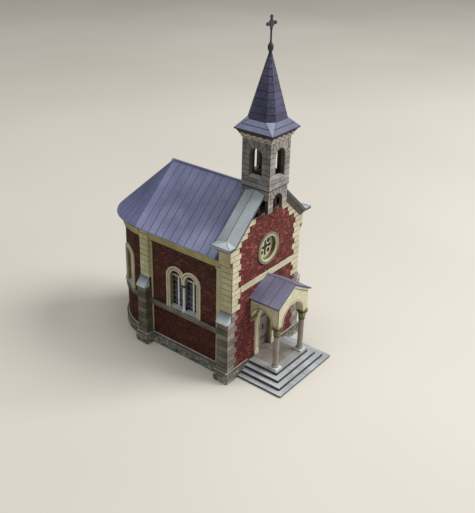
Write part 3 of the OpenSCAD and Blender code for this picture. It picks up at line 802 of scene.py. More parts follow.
def head_courses(shape, pale):
    """Brick courses that step out under the eaves."""
    y0 = FRONT_T + STRIP_FRONT
    y1 = REAR_Y0 - STRIP_REAR
    for place, ends in ((left_side, (-y1, -y0)), (right_side, (y0, y1)),
                        (apse(WALL_HALF), (0.0, math.pi * WALL_HALF))):
        courses(shape, pale, cornice_face(place), lambda z: [ends], 0, HEAD_H)


def brickwork(name, fill, material, pale_material):
    dress(fill, ("bricks_" + name, material, "brick"), ("pale_bricks_" + name, pale_material, "brick"))


def brick_wall(place, spans, z1):
    """A function that lays the courses of one wall."""
    return lambda shape, pale: courses(shape, pale, place, spans, WALL_Z, z1)


brickwork("front", brick_wall(facade, facade_spans, GABLE_CUT_Z), "brick_face", "brick_pale")
for name, fill in (("left", brick_wall(left_side, side_spans(-1), WALL_TOP)),
                   ("right", brick_wall(right_side, side_spans(1), WALL_TOP)),
                   ("apse", brick_wall(apse(WALL_HALF), apse_spans, WALL_TOP)),
                   ("gable_rear", brick_wall(wall(0, FRONT_T, 0, 1), gable_rear_spans, GABLE_CUT_Z)),
                   ("head", head_courses)):
    brickwork(name, fill, "brick_side", "side_pale")


# Quoins and pier stones

STONE = 3.3
STONE_JOINT = 0.3
QUOIN_JOINT = 0.44
STONE_OUT = 0.32
SHADED = 0.2
PLAIN_EDGE = 0.05


def beds(z0, z1, count):
    """Beds of equal height between two heights."""
    edges = [z0 + (z1 - z0) * i / count for i in range(count + 1)]
    return list(zip(edges, edges[1:]))


def levels(z0, z1):
    """Beds of about the height of a stone."""
    return beds(z0, z1, round((z1 - z0) / STONE))


def stones(shape, place, u0, u1, z0, z1, top=STONE_OUT, tone=None, joint=STONE_JOINT):
    shape.block(rect(u0, z0, u1, z1, joint / 2), place, top, 0.12, rng.random() if tone is None else tone)


def bed_tone(i):
    """Tone of a bed of stone, by turns light and dark."""
    return (0.85, 0.15)[i % 2] + rng.uniform(-0.15, 0.15)


def front_quoins(upper, lower):
    """Stones at the corners of the front, by turns long and short, and along the slopes of the gable."""
    gap = QUOIN_JOINT / 2
    band_reach = UPPER_HALF - high("front_band").x
    # Stones, beds, outer edges by turns, reaches by turns and the turn of the first tone
    runs = ((lower, levels(WALL_Z, PIER_CAP_Z), (PIER_HALF,), (6.1, 8.2), 0),
            (lower, levels(PIER_CAP_Z, CAP_TOP), (UPPER_HALF,), (5.2, 3.4), 1),
            (upper, levels(CAP_TOP, BAND_FRONT_LOW), (UPPER_HALF,), (7.25, 5.4), None),
            (upper, [(BAND_FRONT_LOW, BAND_FRONT_TOP)], (UPPER_HALF,), (band_reach,), None),
            (upper, levels(BAND_FRONT_TOP, SLANT_Z), (UPPER_HALF,), (5.4, 7.25), None),
            (upper, levels(SLANT_Z, PIER_TOP), (UPPER_HALF, EAVE_HALF, EAVE_HALF), (6.2, 9.2, 7.6), None))
    for side in (-1, 1):
        for shape, rows, outers, reaches, first in runs:
            for i, bed in enumerate(rows):
                outer = outers[i % len(outers)]
                ends = span(side, outer, outer - reaches[i % len(reaches)])
                tone = None if first is None else bed_tone(i + first)
                stones(shape, facade, *ends, *bed, tone=tone, joint=QUOIN_JOINT)
        for i, (z0, z1) in enumerate(levels(PIER_TOP, GABLE_CUT_Z)):
            inner = rake((z0 + z1) / 2) - (3.6, 5.3)[i % 2]
            foot = z0 + gap
            head = z1 - gap
            outline = [(side * inner, foot), (side * (rake(foot) - 0.02), foot),
                       (side * (rake(head) - 0.02), head), (side * inner, head)]
            upper.block(facing(outline, side), facade, STONE_OUT, 0.12, rng.random())


def pier_stones(upper, lower):
    """Stones on the outer face of each pier, and on its free faces to the front and the rear."""
    for sign in (-1, 1):
        for y0, y1, top, ends in ((0, FRONT_T, SLANT_Z, ((FRONT_T, 1),)),
                                  (REAR_Y0, REAR_Y1, REAR_HEAD_Z - 0.1, ((REAR_Y0, -1), (REAR_Y1, 1)))):
            stages = ((lower, PIER_HALF, levels(WALL_Z, PIER_CAP_Z)),
                      (upper, UPPER_HALF, levels(CAP_TOP, top)))
            for shape, outer, rows in stages:
                for i, bed in enumerate(rows):
                    tone = bed_tone(i) if shape is lower else None
                    stones(shape, wall(sign * outer, 0, sign, 0), *span(sign, y0, y1), *bed, tone=tone)
            for y, out in ends:
                for shape, outer, rows in stages:
                    for i, bed in enumerate(rows):
                        tone = bed_tone(i)
                        if out < 0 and shape is lower:
                            tone *= SHADED
                        across = span(-out * sign, WALL_HALF, outer)
                        stones(shape, wall(0, y, 0, out), *across, *bed, tone=tone)


def kneelers(shape):
    """Plain boxes at the head of the front piers, each over a leaning foot."""
    box_z = PIER_TOP - KNEELER_H
    head = PIER_TOP - PLAIN_EDGE
    lean_out = EAVE_HALF - UPPER_HALF
    for sign in (-1, 1):
        u0, u1 = span(sign, 0.0, FRONT_T)
        u0 += PLAIN_EDGE
        u1 -= PLAIN_EDGE
        shape.block(rect(u0, box_z, u1, head), wall(sign * EAVE_HALF, 0, sign, 0), 0.12, 0.08)
        lean = sheet((sign * UPPER_HALF, 0, SLANT_Z), (0, sign, 0), (sign * lean_out, 0, KNEELER_SLANT))
        shape.block(rect(u0, PLAIN_EDGE, u1, math.hypot(lean_out, KNEELER_SLANT)), lean, 0.1, 0.06)
        across = span(-sign, WALL_HALF, EAVE_HALF)
        shape.block(rect(across[0], box_z, across[1], head), wall(0, FRONT_T, 0, 1), 0.1, 0.06)


def corner_strips(shape):
    """Plain cream strips on the long walls, beside the piers."""
    for sign, place in ((-1, left_side), (1, right_side)):
        for y0, y1 in ((FRONT_T, FRONT_T + STRIP_FRONT), (REAR_Y0 - STRIP_REAR, REAR_Y0),
                       (REAR_Y1, REAR_Y1 + STRIP_REAR)):
            u0, u1 = span(sign, y0, y1)
            shape.block(rect(u0, WALL_Z, u1, WALL_TOP), place, 0.35, 0.1)
            shape.block(rect(u0, 0, u1, HEAD_H), cornice_face(place), 0.35, 0.1)


def pier_dressing(upper, lower):
    pier_stones(upper, lower)
    kneelers(upper)
    corner_strips(upper)


def gable_top(shape, edge):
    """Dark sheet of painted shade over the level top of the gable, under the turret's arch, with a pale
    front edge.
    """
    half = rake(GABLE_CUT_Z) - 0.3
    shape.block(rect(-half, 0.5, half, FRONT_T - 0.05), level(GABLE_CUT_Z), 0.15)
    edge.block(rect(-half, -0.1, half, 0.5), level(GABLE_CUT_Z), 0.3, 0.08)


dress(front_quoins, ("upper_quoins", "cream_block", "cream_stone"),
      ("lower_quoins", "grey_block", "grey_stone"))
dress(pier_dressing, ("upper_pier_stones", "cream_side", "cream_stone"),
      ("lower_pier_stones", "grey_side", "grey_stone"))
dress(gable_top, ("gable_top", "turret_joint_and_shade", "grey_stone"), ("gable_edge", "rake_stone", "grey_stone"))


# Plinth

RUBBLE = 2.3
RUBBLE_ROWS = 3
RUBBLE_GAP = 0.13
EDGE_H = 0.5
LEDGE = [(WALL_Z - EDGE_H, -0.05), (WALL_Z + 0.06, -PLINTH_OUT), (WALL_Z + 0.06, 0.35),
         (WALL_Z - 0.08, 0.46), (WALL_Z - EDGE_H, 0.46)]
LEDGE_LINE = [(WALL_Z + 0.02, 0.1 - PLINTH_OUT), (WALL_Z + 0.42, -PLINTH_OUT),
              (WALL_Z + 0.42, 0.32 - PLINTH_OUT), (WALL_Z + 0.02, 0.42 - PLINTH_OUT)]
LEDGE_SLAB = 6


def plinth_runs():
    """Upright faces of the plinth with the ends of their width."""
    side = WALL_HALF + PLINTH_OUT
    front = -PLINTH_OUT
    front_rear = FRONT_T + PLINTH_OUT
    rear_front = REAR_Y0 - PLINTH_OUT
    rear = REAR_Y1 + PLINTH_OUT
    runs = [(apse(side), 0.0, math.pi * side)]
    for sign in (-1, 1):
        runs.append((wall(0, front, 0, -1), *span(sign, PLATFORM_HALF, PLINTH_HALF)))
        for x, y0, y1 in ((PLINTH_HALF, front, front_rear), (PLINTH_HALF, rear_front, rear),
                          (side, front_rear, rear_front)):
            runs.append((wall(sign * x, 0, sign, 0), *span(sign, y0, y1)))
        for y, out in ((front_rear, 1), (rear_front, -1), (rear, 1)):
            runs.append((wall(0, y, 0, out), *span(-out * sign, side, PLINTH_HALF)))
    return runs


def rubble(shape, place, u0, u1, z0, z1):
    """Uneven six-sided stones whose corners meet."""
    count = max(1, round((u1 - u0) / RUBBLE))
    width = (u1 - u0) / count
    rise = (z1 - z0) / RUBBLE_ROWS
    moved = {}

    def corner(step, row):
        if (step, row) not in moved:
            inner_u = 0 < step < 2 * count
            inner_v = 0 < row < RUBBLE_ROWS
            moved[step, row] = (u0 + max(0, min(2 * count, step)) * width / 2
                                + (rng.uniform(-0.24, 0.24) * width if inner_u else 0),
                                z0 + row * rise + (rng.uniform(-0.28, 0.28) * rise if inner_v else 0))
        return moved[step, row]
    for row in range(RUBBLE_ROWS):
        for k in range(-1, 2 * count, 2):
            step = k + (row + 1) % 2
            ring = [corner(step + i, row) for i in (0, 1, 2)]
            ring += [corner(step + i, row + 1) for i in (2, 1, 0)]
            if ring[2][0] - ring[0][0] > 0.5:
                shape.block(shrunk(ring, RUBBLE_GAP), place, rng.uniform(0.18, 0.42), 0.2, rng.random())


def plinth_ledge(shape, line, place, u0, u1):
    """Slabs along the top of the plinth, a little beyond its face, and a pale line at the wall's foot."""
    parts = max(1, round((u1 - u0) / LEDGE_SLAB))
    step = (u1 - u0) / parts
    for i in range(parts):
        stops = [u0 + step * (i + k / 3) for k in range(4)]
        stops[0] += 0.04
        stops[-1] -= 0.04
        shape.loft([[place(u, v, d) for v, d in LEDGE] for u in stops], rng.random(), first_end=True)
        line.loft([[place(u, v, d) for v, d in LEDGE_LINE] for u in stops], first_end=True)


def plinth_stones(shape, ledge, line):
    for place, u0, u1 in plinth_runs():
        rubble(shape, place, u0, u1, 0.0, WALL_Z - EDGE_H)
        plinth_ledge(ledge, line, place, u0, u1)


dress(plinth_stones, ("plinth_rubble", "rubble_stone", "rubble"),
      ("plinth_ledge", "ledge_stone", "grey_stone"), ("plinth_line", "ledge_pale", "grey_stone"))


# Sill bands

SILL_STONE = 7.5
SILL_LIP = 1.1


def sill_stones(shape):
    """Stones along the sill band, each with a pale lip over it."""
    runs = [(wall(sign * BAND_HALF, 0, sign, 0), span(sign, FRONT_T, REAR_Y0)) for sign in (-1, 1)]
    runs.append((apse(BAND_HALF), (0.0, math.pi * BAND_HALF)))
    lip = SILL_Z - SILL_LIP
    for place, (u0, u1) in runs:
        for a, b in beds(u0, u1, round((u1 - u0) / SILL_STONE)):
            shape.block(rect(a, BAND_Z, b, lip, 0.1), place, 0.1, 0.08, rng.uniform(0, 0.4))
            shape.block(rect(a + 0.1, lip, b - 0.1, SILL_Z), place, 0.3, 0.12, rng.uniform(0.7, 1))


dress(sill_stones, ("sill_band_stones", "grey_band", "grey_stone"))


# Window glazing

PANE_IN = WALL_HALF - PANE_HALF
BAR_D = 0.5
BAR_HALF = 0.5
TRANSOM_HALF = 0.4
LEAD_HALF = 0.13
LEAD_ROW_HALF = 0.14
LEAD_OUT = 0.22
LEAD_ROWS = 6


def lights():
    """The plane of each light's pane, with the middle of its width."""
    for sign in (-1, 1):
        for light in (-LIGHT_SET, LIGHT_SET):
            yield wall(sign * PANE_HALF, 0, sign, 0), sign * WINDOW_Y + light
    for turn in APSE_WINDOWS:
        out = (math.cos(turn), math.sin(turn))
        yield wall(out[0] * PANE_HALF, APSE_Y + out[1] * PANE_HALF, *out), 0.0


def light_bars(thick, thin, place, centre):
    """Bars of one round-headed light: a stout middle bar, a transom and thin leaded bars."""
    left = centre - LIGHT_HALF
    right = centre + LIGHT_HALF
    thick.block(rect(centre - BAR_HALF, SILL_Z, centre + BAR_HALF, LIGHT_SPRING), place, BAR_D, 0.1)
    thick.block(rect(left, LIGHT_SPRING - TRANSOM_HALF, right, LIGHT_SPRING + TRANSOM_HALF), place,
                BAR_D + 0.1, 0.1)
    for k in range(1, LEAD_ROWS):
        z = SILL_Z + (LIGHT_SPRING - SILL_Z) * k / LEAD_ROWS
        thin.tile(rect(left, z - LEAD_ROW_HALF, right, z + LEAD_ROW_HALF), place, LEAD_OUT)
    for u in (-LIGHT_HALF / 2, LIGHT_HALF / 2):
        top = LIGHT_SPRING + math.sqrt(LIGHT_HALF ** 2 - u ** 2)
        thin.tile(rect(centre + u - LEAD_HALF, SILL_Z, centre + u + LEAD_HALF, top), place, 0.25)
    foot = Vector((centre, LIGHT_SPRING))
    for turn in (60, 90, 120):
        t = math.radians(turn)
        along = Vector((math.cos(t), math.sin(t)))
        side = Vector((-along.y, along.x)) * LEAD_HALF
        tip = foot + along * LIGHT_HALF
        thin.tile([foot - side, tip - side, tip + side, foot + side], place, LEAD_OUT)


def sloping_sill(shape, place, centre, half, z, depth, front_rise, rear_rise, tone):
    """A slab that slopes out of an opening."""
    section = ((z - 0.02, 0.0), (z - 0.02, depth), (z + front_rise, depth), (z + rear_rise, 0.0))
    shape.loft([[place(u, v, d) for v, d in section] for u in (centre - half, centre + half)], tone,
               first_end=True)


def glazing(thick, thin, slabs):
    for face, centre in lights():
        light_bars(thick, thin, face, centre)
        sloping_sill(slabs, face, centre, LIGHT_HALF, SILL_Z, PANE_IN + 0.5, 0.3, 1.3, rng.random())


dress(glazing, ("window_bars", "bar_white", "cream_stone"), ("leaded_bars", "bar_grey", "dark_pane"),
      ("window_sills", "sill_slab", "coping_sheet"))


# Reveals of the openings in painted shade, and dark strips in the window surrounds that paint the shade of
# grooves

LINER = 0.12
FLAT_OUT = 0.5
GROOVE_AT = 1.08
GROOVE_HALF = 0.21
GROOVE = [(GROOVE_HALF, FLAT_OUT - 0.1), (GROOVE_HALF, FLAT_OUT + 0.03),
          (-GROOVE_HALF, FLAT_OUT + 0.03), (-GROOVE_HALF, FLAT_OUT - 0.1)]
BEAD_IN = 0.38
BEAD = [(0.42, 0.4), (0.42, 0.96), (-0.42, 0.9), (-0.42, -0.05)]


def twin_path(centre):
    """Path round a pair of lights that are open to each other below the capital."""
    gap = LIGHT_SET - LIGHT_HALF
    right = arch_path(centre + LIGHT_SET, LIGHT_HALF, SILL_Z, LIGHT_SPRING)
    left = arch_path(centre - LIGHT_SET, LIGHT_HALF, SILL_Z, LIGHT_SPRING)
    return right[:-1] + [Vector((centre + gap, CAPITAL_Z)), Vector((centre - gap, CAPITAL_Z))] + left[1:]


def twin_groove(centre):
    """Path over the heads of a pair of lights, a little outside them, which meets between them."""
    reach = LIGHT_HALF + GROOVE_AT
    meet = math.acos(min(1.0, LIGHT_SET / reach))
    steps = 20
    turns = [(math.pi - meet) * i / steps for i in range(steps + 1)]
    right = [Vector((centre + LIGHT_SET + reach * math.cos(t), LIGHT_SPRING + reach * math.sin(t)))
             for t in turns]
    left = [Vector((2 * centre - p.x, p.y)) for p in right[::-1]]
    return [Vector((right[0].x, SILL_Z))] + right + left[1:] + [Vector((left[-1].x, SILL_Z))]


def round_path(radius):
    return [Vector((radius * math.cos(t), OCULUS_Z + radius * math.sin(t))) for t in circle(48)]


def bowed(turn):
    """The apse wall about a window, with its depth measured along the window's own axis."""
    out = (math.cos(turn), math.sin(turn))

    def place(u, v, d):
        reach = math.sqrt(WALL_HALF ** 2 - u * u) + d
        return at(out[0] * reach - out[1] * u, APSE_Y + out[1] * reach + out[0] * u, v)
    return place


def liner(depth):
    return [(0.0, -depth), (0.0, 0.02), (LINER, 0.02), (LINER, -depth)]


def reveals(liners, grooves):
    """Linings of the windows and the door in painted shade, and a dark strip of painted groove shade round
    each window.
    """
    for place, centre in ((left_side, -WINDOW_Y), (right_side, WINDOW_Y)):
        liners.moulding(place, twin_path(centre), liner(PANE_IN))
        grooves.moulding(place, twin_groove(centre), GROOVE)
    for place in [bowed(turn) for turn in APSE_WINDOWS]:
        liners.moulding(place, arch_path(0, LIGHT_HALF, SILL_Z, LIGHT_SPRING), liner(PANE_IN - 0.4))
        grooves.moulding(place, arch_path(0, LIGHT_HALF + GROOVE_AT, SILL_Z, LIGHT_SPRING), GROOVE)
    liners.moulding(facade, arch_path(0, DOOR_HALF, WALL_Z, DOOR_SPRING), liner(DOOR_Y))


def oculus_rings(lining, bead):
    lining.moulding(facade, round_path(OCULUS_R), liner(TRACERY_Y), closed=True)
    bead.moulding(facade, round_path(OCULUS_OUTER - BEAD_IN), BEAD, closed=True)


dress(reveals, ("window_reveals", "reveal_shade", "cream_stone", 40),
      ("window_groove_shade", "groove_shade", "cream_stone", 40))
# The oculus's lining is dark olive, painted shade inside the ring.
dress(oculus_rings, ("oculus_reveal", "groove_shade", "cream_stone", 40),
      ("oculus_bead", "eye_paint", "cream_stone", 40))


# Openings of the tracery

CROSS_W = 1.6
CROSS_REACH = 4.0
CROSS_END = 1.0
CROSS_EYE = 1.75
PETAL_AT = 2.75
PETAL_R = 1.25


def cross_edge(turn):
    """Distance of the cross's edge from its middle, at a turn from the nearest arm."""
    side = math.sin(turn)
    arm = min(CROSS_REACH / math.cos(turn), CROSS_W / 2 / max(abs(side), 0.001))
    swell = CROSS_END ** 2 - (CROSS_REACH * side) ** 2
    tip = CROSS_REACH * math.cos(turn) + math.sqrt(swell) if swell > 0 else 0.0
    return max(CROSS_EYE, arm, tip)


def eye_glass(shape):
    """Dark panes in the openings of the tracery: a cross and four round petals."""
    face = wall(0, TRACERY_Y, 0, -1)
    outline = []
    for turn in circle(96):
        edge = cross_edge((turn + math.pi / 4) % (math.pi / 2) - math.pi / 4)
        outline.append((edge * math.cos(turn), OCULUS_Z + edge * math.sin(turn)))
    shape.block(outline, face, 0.05, 0.02)
    for u in (-PETAL_AT, PETAL_AT):
        for v in (-PETAL_AT, PETAL_AT):
            shape.block(rounded(u, OCULUS_Z + v, PETAL_R, PETAL_R, 20), face, 0.05, 0.02)


dress(eye_glass, ("oculus_panes", "eye_dark", "dark_pane"))


# Door

BOARDS = 4
BOARD_GAP = 0.07
BOARD_OUT = 0.3
STRAP_HALF = 0.32
STRAP_HEIGHTS = (WALL_Z + 5.0, WALL_Z + 19.5)
HANDLE_SET = 1.5
HANDLE_Z = WALL_Z + 12.2
HANDLE_REACH = 1.3
HANDLE_HALF = 0.28
HANDLE_END = (0.66, 0.58)
KNOB = (0.5, 0.42)


def door_boards(shape):
    board = DOOR_HALF / BOARDS
    foot = WALL_Z + 0.1
    for k in range(-BOARDS, BOARDS):
        a = k * board + BOARD_GAP
        b = (k + 1) * board - BOARD_GAP
        tops = [DOOR_SPRING + math.sqrt(max(0, DOOR_HALF ** 2 - u * u)) - 0.05 for u in (b, a)]
        shape.block([(a, foot), (b, foot), (b, tops[0]), (a, tops[1])], wall(0, DOOR_Y, 0, -1), BOARD_OUT,
                    0.1, rng.random())


def door_iron(shape):
    """Strap hinges across both leaves, and a handle plate with round ends on each."""
    face = wall(0, DOOR_Y - BOARD_OUT, 0, -1)
    for z in STRAP_HEIGHTS:
        for side in (-1, 1):
            u0, u1 = span(side, 0.2, DOOR_HALF - 0.15)
            shape.block(rect(u0, z - STRAP_HALF, u1, z + STRAP_HALF), face, 0.22, 0.08)
    ends = (HANDLE_Z - HANDLE_REACH, HANDLE_Z + HANDLE_REACH)
    for u in (-HANDLE_SET, HANDLE_SET):
        shape.block(rect(u - HANDLE_HALF, ends[0], u + HANDLE_HALF, ends[1]), face, 0.2, 0.08)
        for z in ends:
            shape.block(rounded(u, z, *HANDLE_END), face, 0.3, 0.12)
        shape.block(rounded(u, HANDLE_Z, *KNOB), face, 0.5, 0.15)


dress(door_boards, ("door_boards", "door_board", "door_panel"))
dress(door_iron, ("door_iron", "iron", "finial_metal"))


# Roofs

SEAM = 5.3
SEAM_W = 0.26
SEAM_H = 0.3
SHEET_OUT = 0.12
SHEET_GAP = 0.05
APSE_DRIP = 1.0
APSE_SEAM_HALF = 0.1
LONG_SEAM_TOP = -2.0
SHORT_SEAM_TOP = -12.0
ROLL_R = 0.65
SLOPE_NORM = math.hypot(1, SLOPE)
SLOPE_LENGTH = EAVE_HALF * SLOPE_NORM
PORCH_SHEETS = 3


def standing_seam(shape, face, u, foot):
    shape.block(rect(u - SEAM_W / 2, -foot, u + SEAM_W / 2, 0), face, SEAM_H)


def nave_sheets(sheets, seams):
    y0 = COPE_Y1 + 0.1
    count = round((APSE_Y - y0) / SEAM)
    step = (APSE_Y - y0) / count
    for sign in (-1, 1):
        face = sheet((0, 0, RIDGE_Z), (0, sign, 0), (-sign, 0, SLOPE))
        for i in range(count):
            seam = sign * (y0 + i * step)
            u0, u1 = span(sign, y0 + i * step, y0 + (i + 1) * step)
            # Painted highlight: the last sheet before the apse is lighter, where light catches the turn
            # onto the apse roof.
            tone = 0.75 if i == count - 1 else rng.uniform(0.42, 0.62)
            sheets.tile(rect(u0 + SHEET_GAP, -SLOPE_LENGTH, u1 - SHEET_GAP, 0), face, SHEET_OUT, 0.02, tone)
            if i:
                standing_seam(seams, face, seam, SLOPE_LENGTH + 0.1)
        u0, u1 = span(sign, y0, APSE_Y)
        edge = wall(sign * EAVE_HALF, 0, sign, 0)
        sheets.block(rect(u0, EAVE_Z - EAVE_EDGE, u1, EAVE_Z + 0.05), edge, 0.1, 0.05, 0.6)


def cone_place(turn, radius, d):
    """A point on the apse roof, at a turn and a radius."""
    out = radius + d * SLOPE / SLOPE_NORM
    z = RIDGE_Z - SLOPE * radius + d / SLOPE_NORM
    return at(out * math.cos(turn), APSE_Y + out * math.sin(turn), z)


def apse_sheets(sheets, seams):
    """Wedges of sheet with a dripping edge, and seams between them, each second one short."""
    count = round(math.pi * EAVE_HALF / SEAM)
    for i in range(count):
        # Painted shade: the apse sheets take low tones, darker than the nave's.
        tone = rng.uniform(0.0, 0.14)
        rings = []
        for t in [math.pi * (i + k / 3) / count for k in range(4)]:
            edge = EAVE_HALF + APSE_DRIP * math.sin(t)
            section = ((edge, -0.5), (edge, SHEET_OUT), (0.4, SHEET_OUT), (0.4, 0.0), (EAVE_HALF - 1, -0.5))
            rings.append([cone_place(t, radius, d) for radius, d in section])
        sheets.loft(rings, tone, first_end=True)
    for i in range(count + 1):
        turn = math.pi * i / count
        out = (math.cos(turn), math.sin(turn))
        face = sheet((0, APSE_Y, RIDGE_Z), (-out[1], out[0], 0), (-out[0], -out[1], SLOPE))
        top = LONG_SEAM_TOP if i % 2 else SHORT_SEAM_TOP
        foot = SLOPE_LENGTH + APSE_DRIP * math.sin(turn) * SLOPE_NORM
        seams.block(rect(-APSE_SEAM_HALF, -foot, APSE_SEAM_HALF, top), face, 0.2, 0.05)


def ridge_roll(shape):
    """A round roll along the ridge, with a turned cap over the apse."""
    z = RIDGE_Z + 0.1
    shape.tube([at(0, TURRET_Y + TURRET_LOW + 0.1, z), at(0, APSE_Y, z)], ROLL_R, sides=12)
    shape.turned([(0.2, RIDGE_Z - 0.8), (1.5, RIDGE_Z - 0.9), (0.9, RIDGE_Z + 0.5), (0.1, RIDGE_Z + 0.95)],
                 0, APSE_Y)


def porch_sheets(sheets, seams):
    length = PORCH_EAVE * math.hypot(1, PORCH_SLOPE)
    depth = -PORCH_ROOF_Y
    eave_z = PORCH_RIDGE - PORCH_SLOPE * PORCH_EAVE
    for sign in (-1, 1):
        face = sheet((0, 0, PORCH_RIDGE), (0, sign, 0), (-sign, 0, PORCH_SLOPE))
        for i in range(PORCH_SHEETS):
            u0, u1 = span(-sign, depth * i / PORCH_SHEETS, depth * (i + 1) / PORCH_SHEETS)
            sheets.tile(rect(u0 + SHEET_GAP, -length, u1 - SHEET_GAP, 0), face, SHEET_OUT, 0.02,
                        rng.random())
            if i:
                standing_seam(seams, face, -sign * depth * i / PORCH_SHEETS, length + 0.05)
        outline = [(0, PORCH_RIDGE - 0.4), (0, PORCH_RIDGE), (sign * PORCH_EAVE, eave_z),
                   (sign * PORCH_EAVE, eave_z - 0.4)]
        seams.block(facing(outline, -sign), wall(0, PORCH_ROOF_Y, 0, -1), 0.08, 0.03)
    sheets.tube([at(0, PORCH_ROOF_Y, PORCH_RIDGE), at(0, 0, PORCH_RIDGE)], 0.3)


def roofs(porch, nave, cone, seams, ridge):
    nave_sheets(nave, seams)
    apse_sheets(cone, seams)
    ridge_roll(ridge)
    porch_sheets(porch, seams)


dress(roofs, ("porch_sheets", "porch_sheet", "roof_sheet"), ("roof_sheets", "roof_sheet", "roof_sheet"),
      ("apse_sheets", "apse_sheet", "roof_sheet"), ("roof_seams", "roof_seam", "roof_sheet", 40),
      ("roof_ridge", "roof_sheet", "roof_sheet", 40))


# Coping

def cope_joint(x):
    """Height of the coping's underside at a distance from the middle."""
    return RIDGE_Z + COPE_GAP + MOULD_H - SLOPE * min(x, FOOT_X)


def cope_folds(shape):
    """Raised seams along the fold of the coping, down the hips of its foot and round its edges."""
    ridge = COPE_T + COPE_FOLD
    for sign in (-1, 1):
        def run(radius, *points):
            shape.tube([at(sign * x, y, cope_joint(x) + lift) for x, y, lift in points], radius, sides=6)
        run(0.16, (TURRET_LOW, COPE_Y, ridge), (FOOT_X, COPE_Y, ridge))
        for y, edge in ((COPE_Y0, COPE_Y0 + 0.08), (COPE_Y1, COPE_Y1 - 0.08)):
            run(0.13, (FOOT_X, COPE_Y, ridge), (TIP_X - 0.1, y, COPE_T))
            run(0.12, (TURRET_LOW, edge, COPE_T), (FOOT_X, edge, COPE_T), (TIP_X, edge, COPE_T))
        run(0.14, (TIP_X - 0.08, COPE_Y0, COPE_T), (TIP_X - 0.08, COPE_Y1, COPE_T))


def rake_edges(shape):
    """Dark edge of the coping's sheet, to the front and to the rear."""
    stops = (TURRET_LOW, FOOT_X, TIP_X)
    for y, out in ((COPE_Y0, -1), (COPE_Y1, 1)):
        for sign in (-1, 1):
            side = -sign * out
            lower = [(side * x, cope_joint(x) + 0.05) for x in stops]
            upper = [(side * x, cope_joint(x) + (COPE_T - 0.12)) for x in stops]
            shape.block(facing(lower + upper[::-1], side), wall(0, y, 0, out), 0.06, 0.06, 0.1)


dress(cope_folds, ("coping_seams", "coping_seam", "coping_sheet", 60))
dress(rake_edges, ("coping_edges", "coping_seam", "coping_sheet"))


# Turret stones

STRING_H = 3.15
FACES = ((0, -1), (1, 0), (0, 1), (-1, 0))
FRAME = 2.5
FAN = 7
# Height of the painted shadow line under the turret's string course.
LINE = 0.4
BLOCK_OUT = 0.2
BELL_IN = 2.1
BELL_SILL_OUT = 2.5
BELL_SPLIT = 0.6
LEG_BEDS = 5.2
LEG_SPLITS = (1.2, -1.6)
LOW_ARCH_IN = 1.6


def turret_face(half, out):
    return wall(out[0] * half, TURRET_Y + out[1] * half, out[0], out[1])


def fan(shape, face, spring, half, top):
    """Wedge stones round an arch, which fill a frame about its head."""
    frame_half = half + FRAME
    rise = top - spring
    corners = [math.atan2(rise, frame_half), math.pi - math.atan2(rise, frame_half)]

    def edge(t):
        return min(rise / max(math.sin(t), 0.001), frame_half / max(abs(math.cos(t)), 0.001))
    for i in range(FAN):
        a = math.pi * i / FAN
        b = math.pi * (i + 1) / FAN
        turns = [a] + [t for t in corners if a + 0.02 < t < b - 0.02] + [b]
        arc = [b + (a - b) * k / 3 for k in range(4)]
        outline = [(edge(t), t) for t in turns] + [(half, t) for t in arc]
        points = [(r * math.cos(t), spring + r * math.sin(t)) for r, t in outline]
        shape.block(shrunk(points, STONE_JOINT / 2), face, 0.22, 0.1, rng.random())


def jambs(shape, face, inner, outer, rows):
    for bed in rows:
        for side in (-1, 1):
            stones(shape, face, *span(side, inner, outer), *bed, BLOCK_OUT)


def arch_stones(shape, face, arch, outer, foot, spring, top, rows):
    """Jamb stones beside an arch, stones beside its frame, and the frame itself."""
    jambs(shape, face, arch, outer, beds(foot, spring, rows))
    jambs(shape, face, arch + FRAME, outer, beds(spring, top, 3))
    fan(shape, face, spring, arch, top)


def bell_stage(shape, lines, out):
    face = turret_face(TURRET_HALF, out)
    band = STRING_Z + STRING_H
    # Painted shadow: a dark line under the string course.
    lines.block(rect(-TURRET_HALF, STRING_Z, TURRET_HALF, STRING_Z + LINE), face, 0.15, 0.05)
    stones(shape, face, -TURRET_HALF, TURRET_HALF, STRING_Z + LINE, band, STONE_OUT)
    for ends in ((-TURRET_HALF, BELL_SPLIT), (BELL_SPLIT, TURRET_HALF)):
        stones(shape, face, *ends, band, BELL_SILL, BLOCK_OUT)
    arch_stones(shape, face, BELL_HALF, TURRET_HALF, BELL_SILL, BELL_SPRING, SHAFT_Z, 4)


def leg_stage(shape, out):
    face = turret_face(TURRET_LOW, out)
    if out == FACES[0]:
        arch_stones(shape, face, LOW_ARCH_HALF, TURRET_LOW, LEG_Z, LOW_ARCH_SPRING, STRING_Z, 2)
    else:
        for split, bed in zip(LEG_SPLITS, beds(STRING_Z - LEG_BEDS, STRING_Z, len(LEG_SPLITS))):
            stones(shape, face, -TURRET_LOW, split, *bed, BLOCK_OUT)
            stones(shape, face, split, TURRET_LOW, *bed, BLOCK_OUT)


def turret_stones(lines, ends, flanks):
    for out in FACES:
        shape = flanks if out[0] else ends
        bell_stage(shape, lines, out)
        leg_stage(shape, out)


def bell_sills(shape):
    for out in FACES:
        face = turret_face(TURRET_HALF - BELL_IN, out)
        sloping_sill(shape, face, 0, BELL_HALF, BELL_SILL, BELL_SILL_OUT, 0.25, 1.0, 0.5)


def bell_reveals(shape):
    """Linings of the bell openings and of the front arch below them."""
    bell = arch_path(0, BELL_HALF, BELL_SILL, BELL_SPRING)
    for out in FACES:
        shape.moulding(turret_face(TURRET_HALF, out), bell, liner(BELL_IN))
    arch = arch_path(0, LOW_ARCH_HALF, LEG_Z, LOW_ARCH_SPRING)
    shape.moulding(turret_face(TURRET_LOW, FACES[0]), arch, liner(LOW_ARCH_IN))


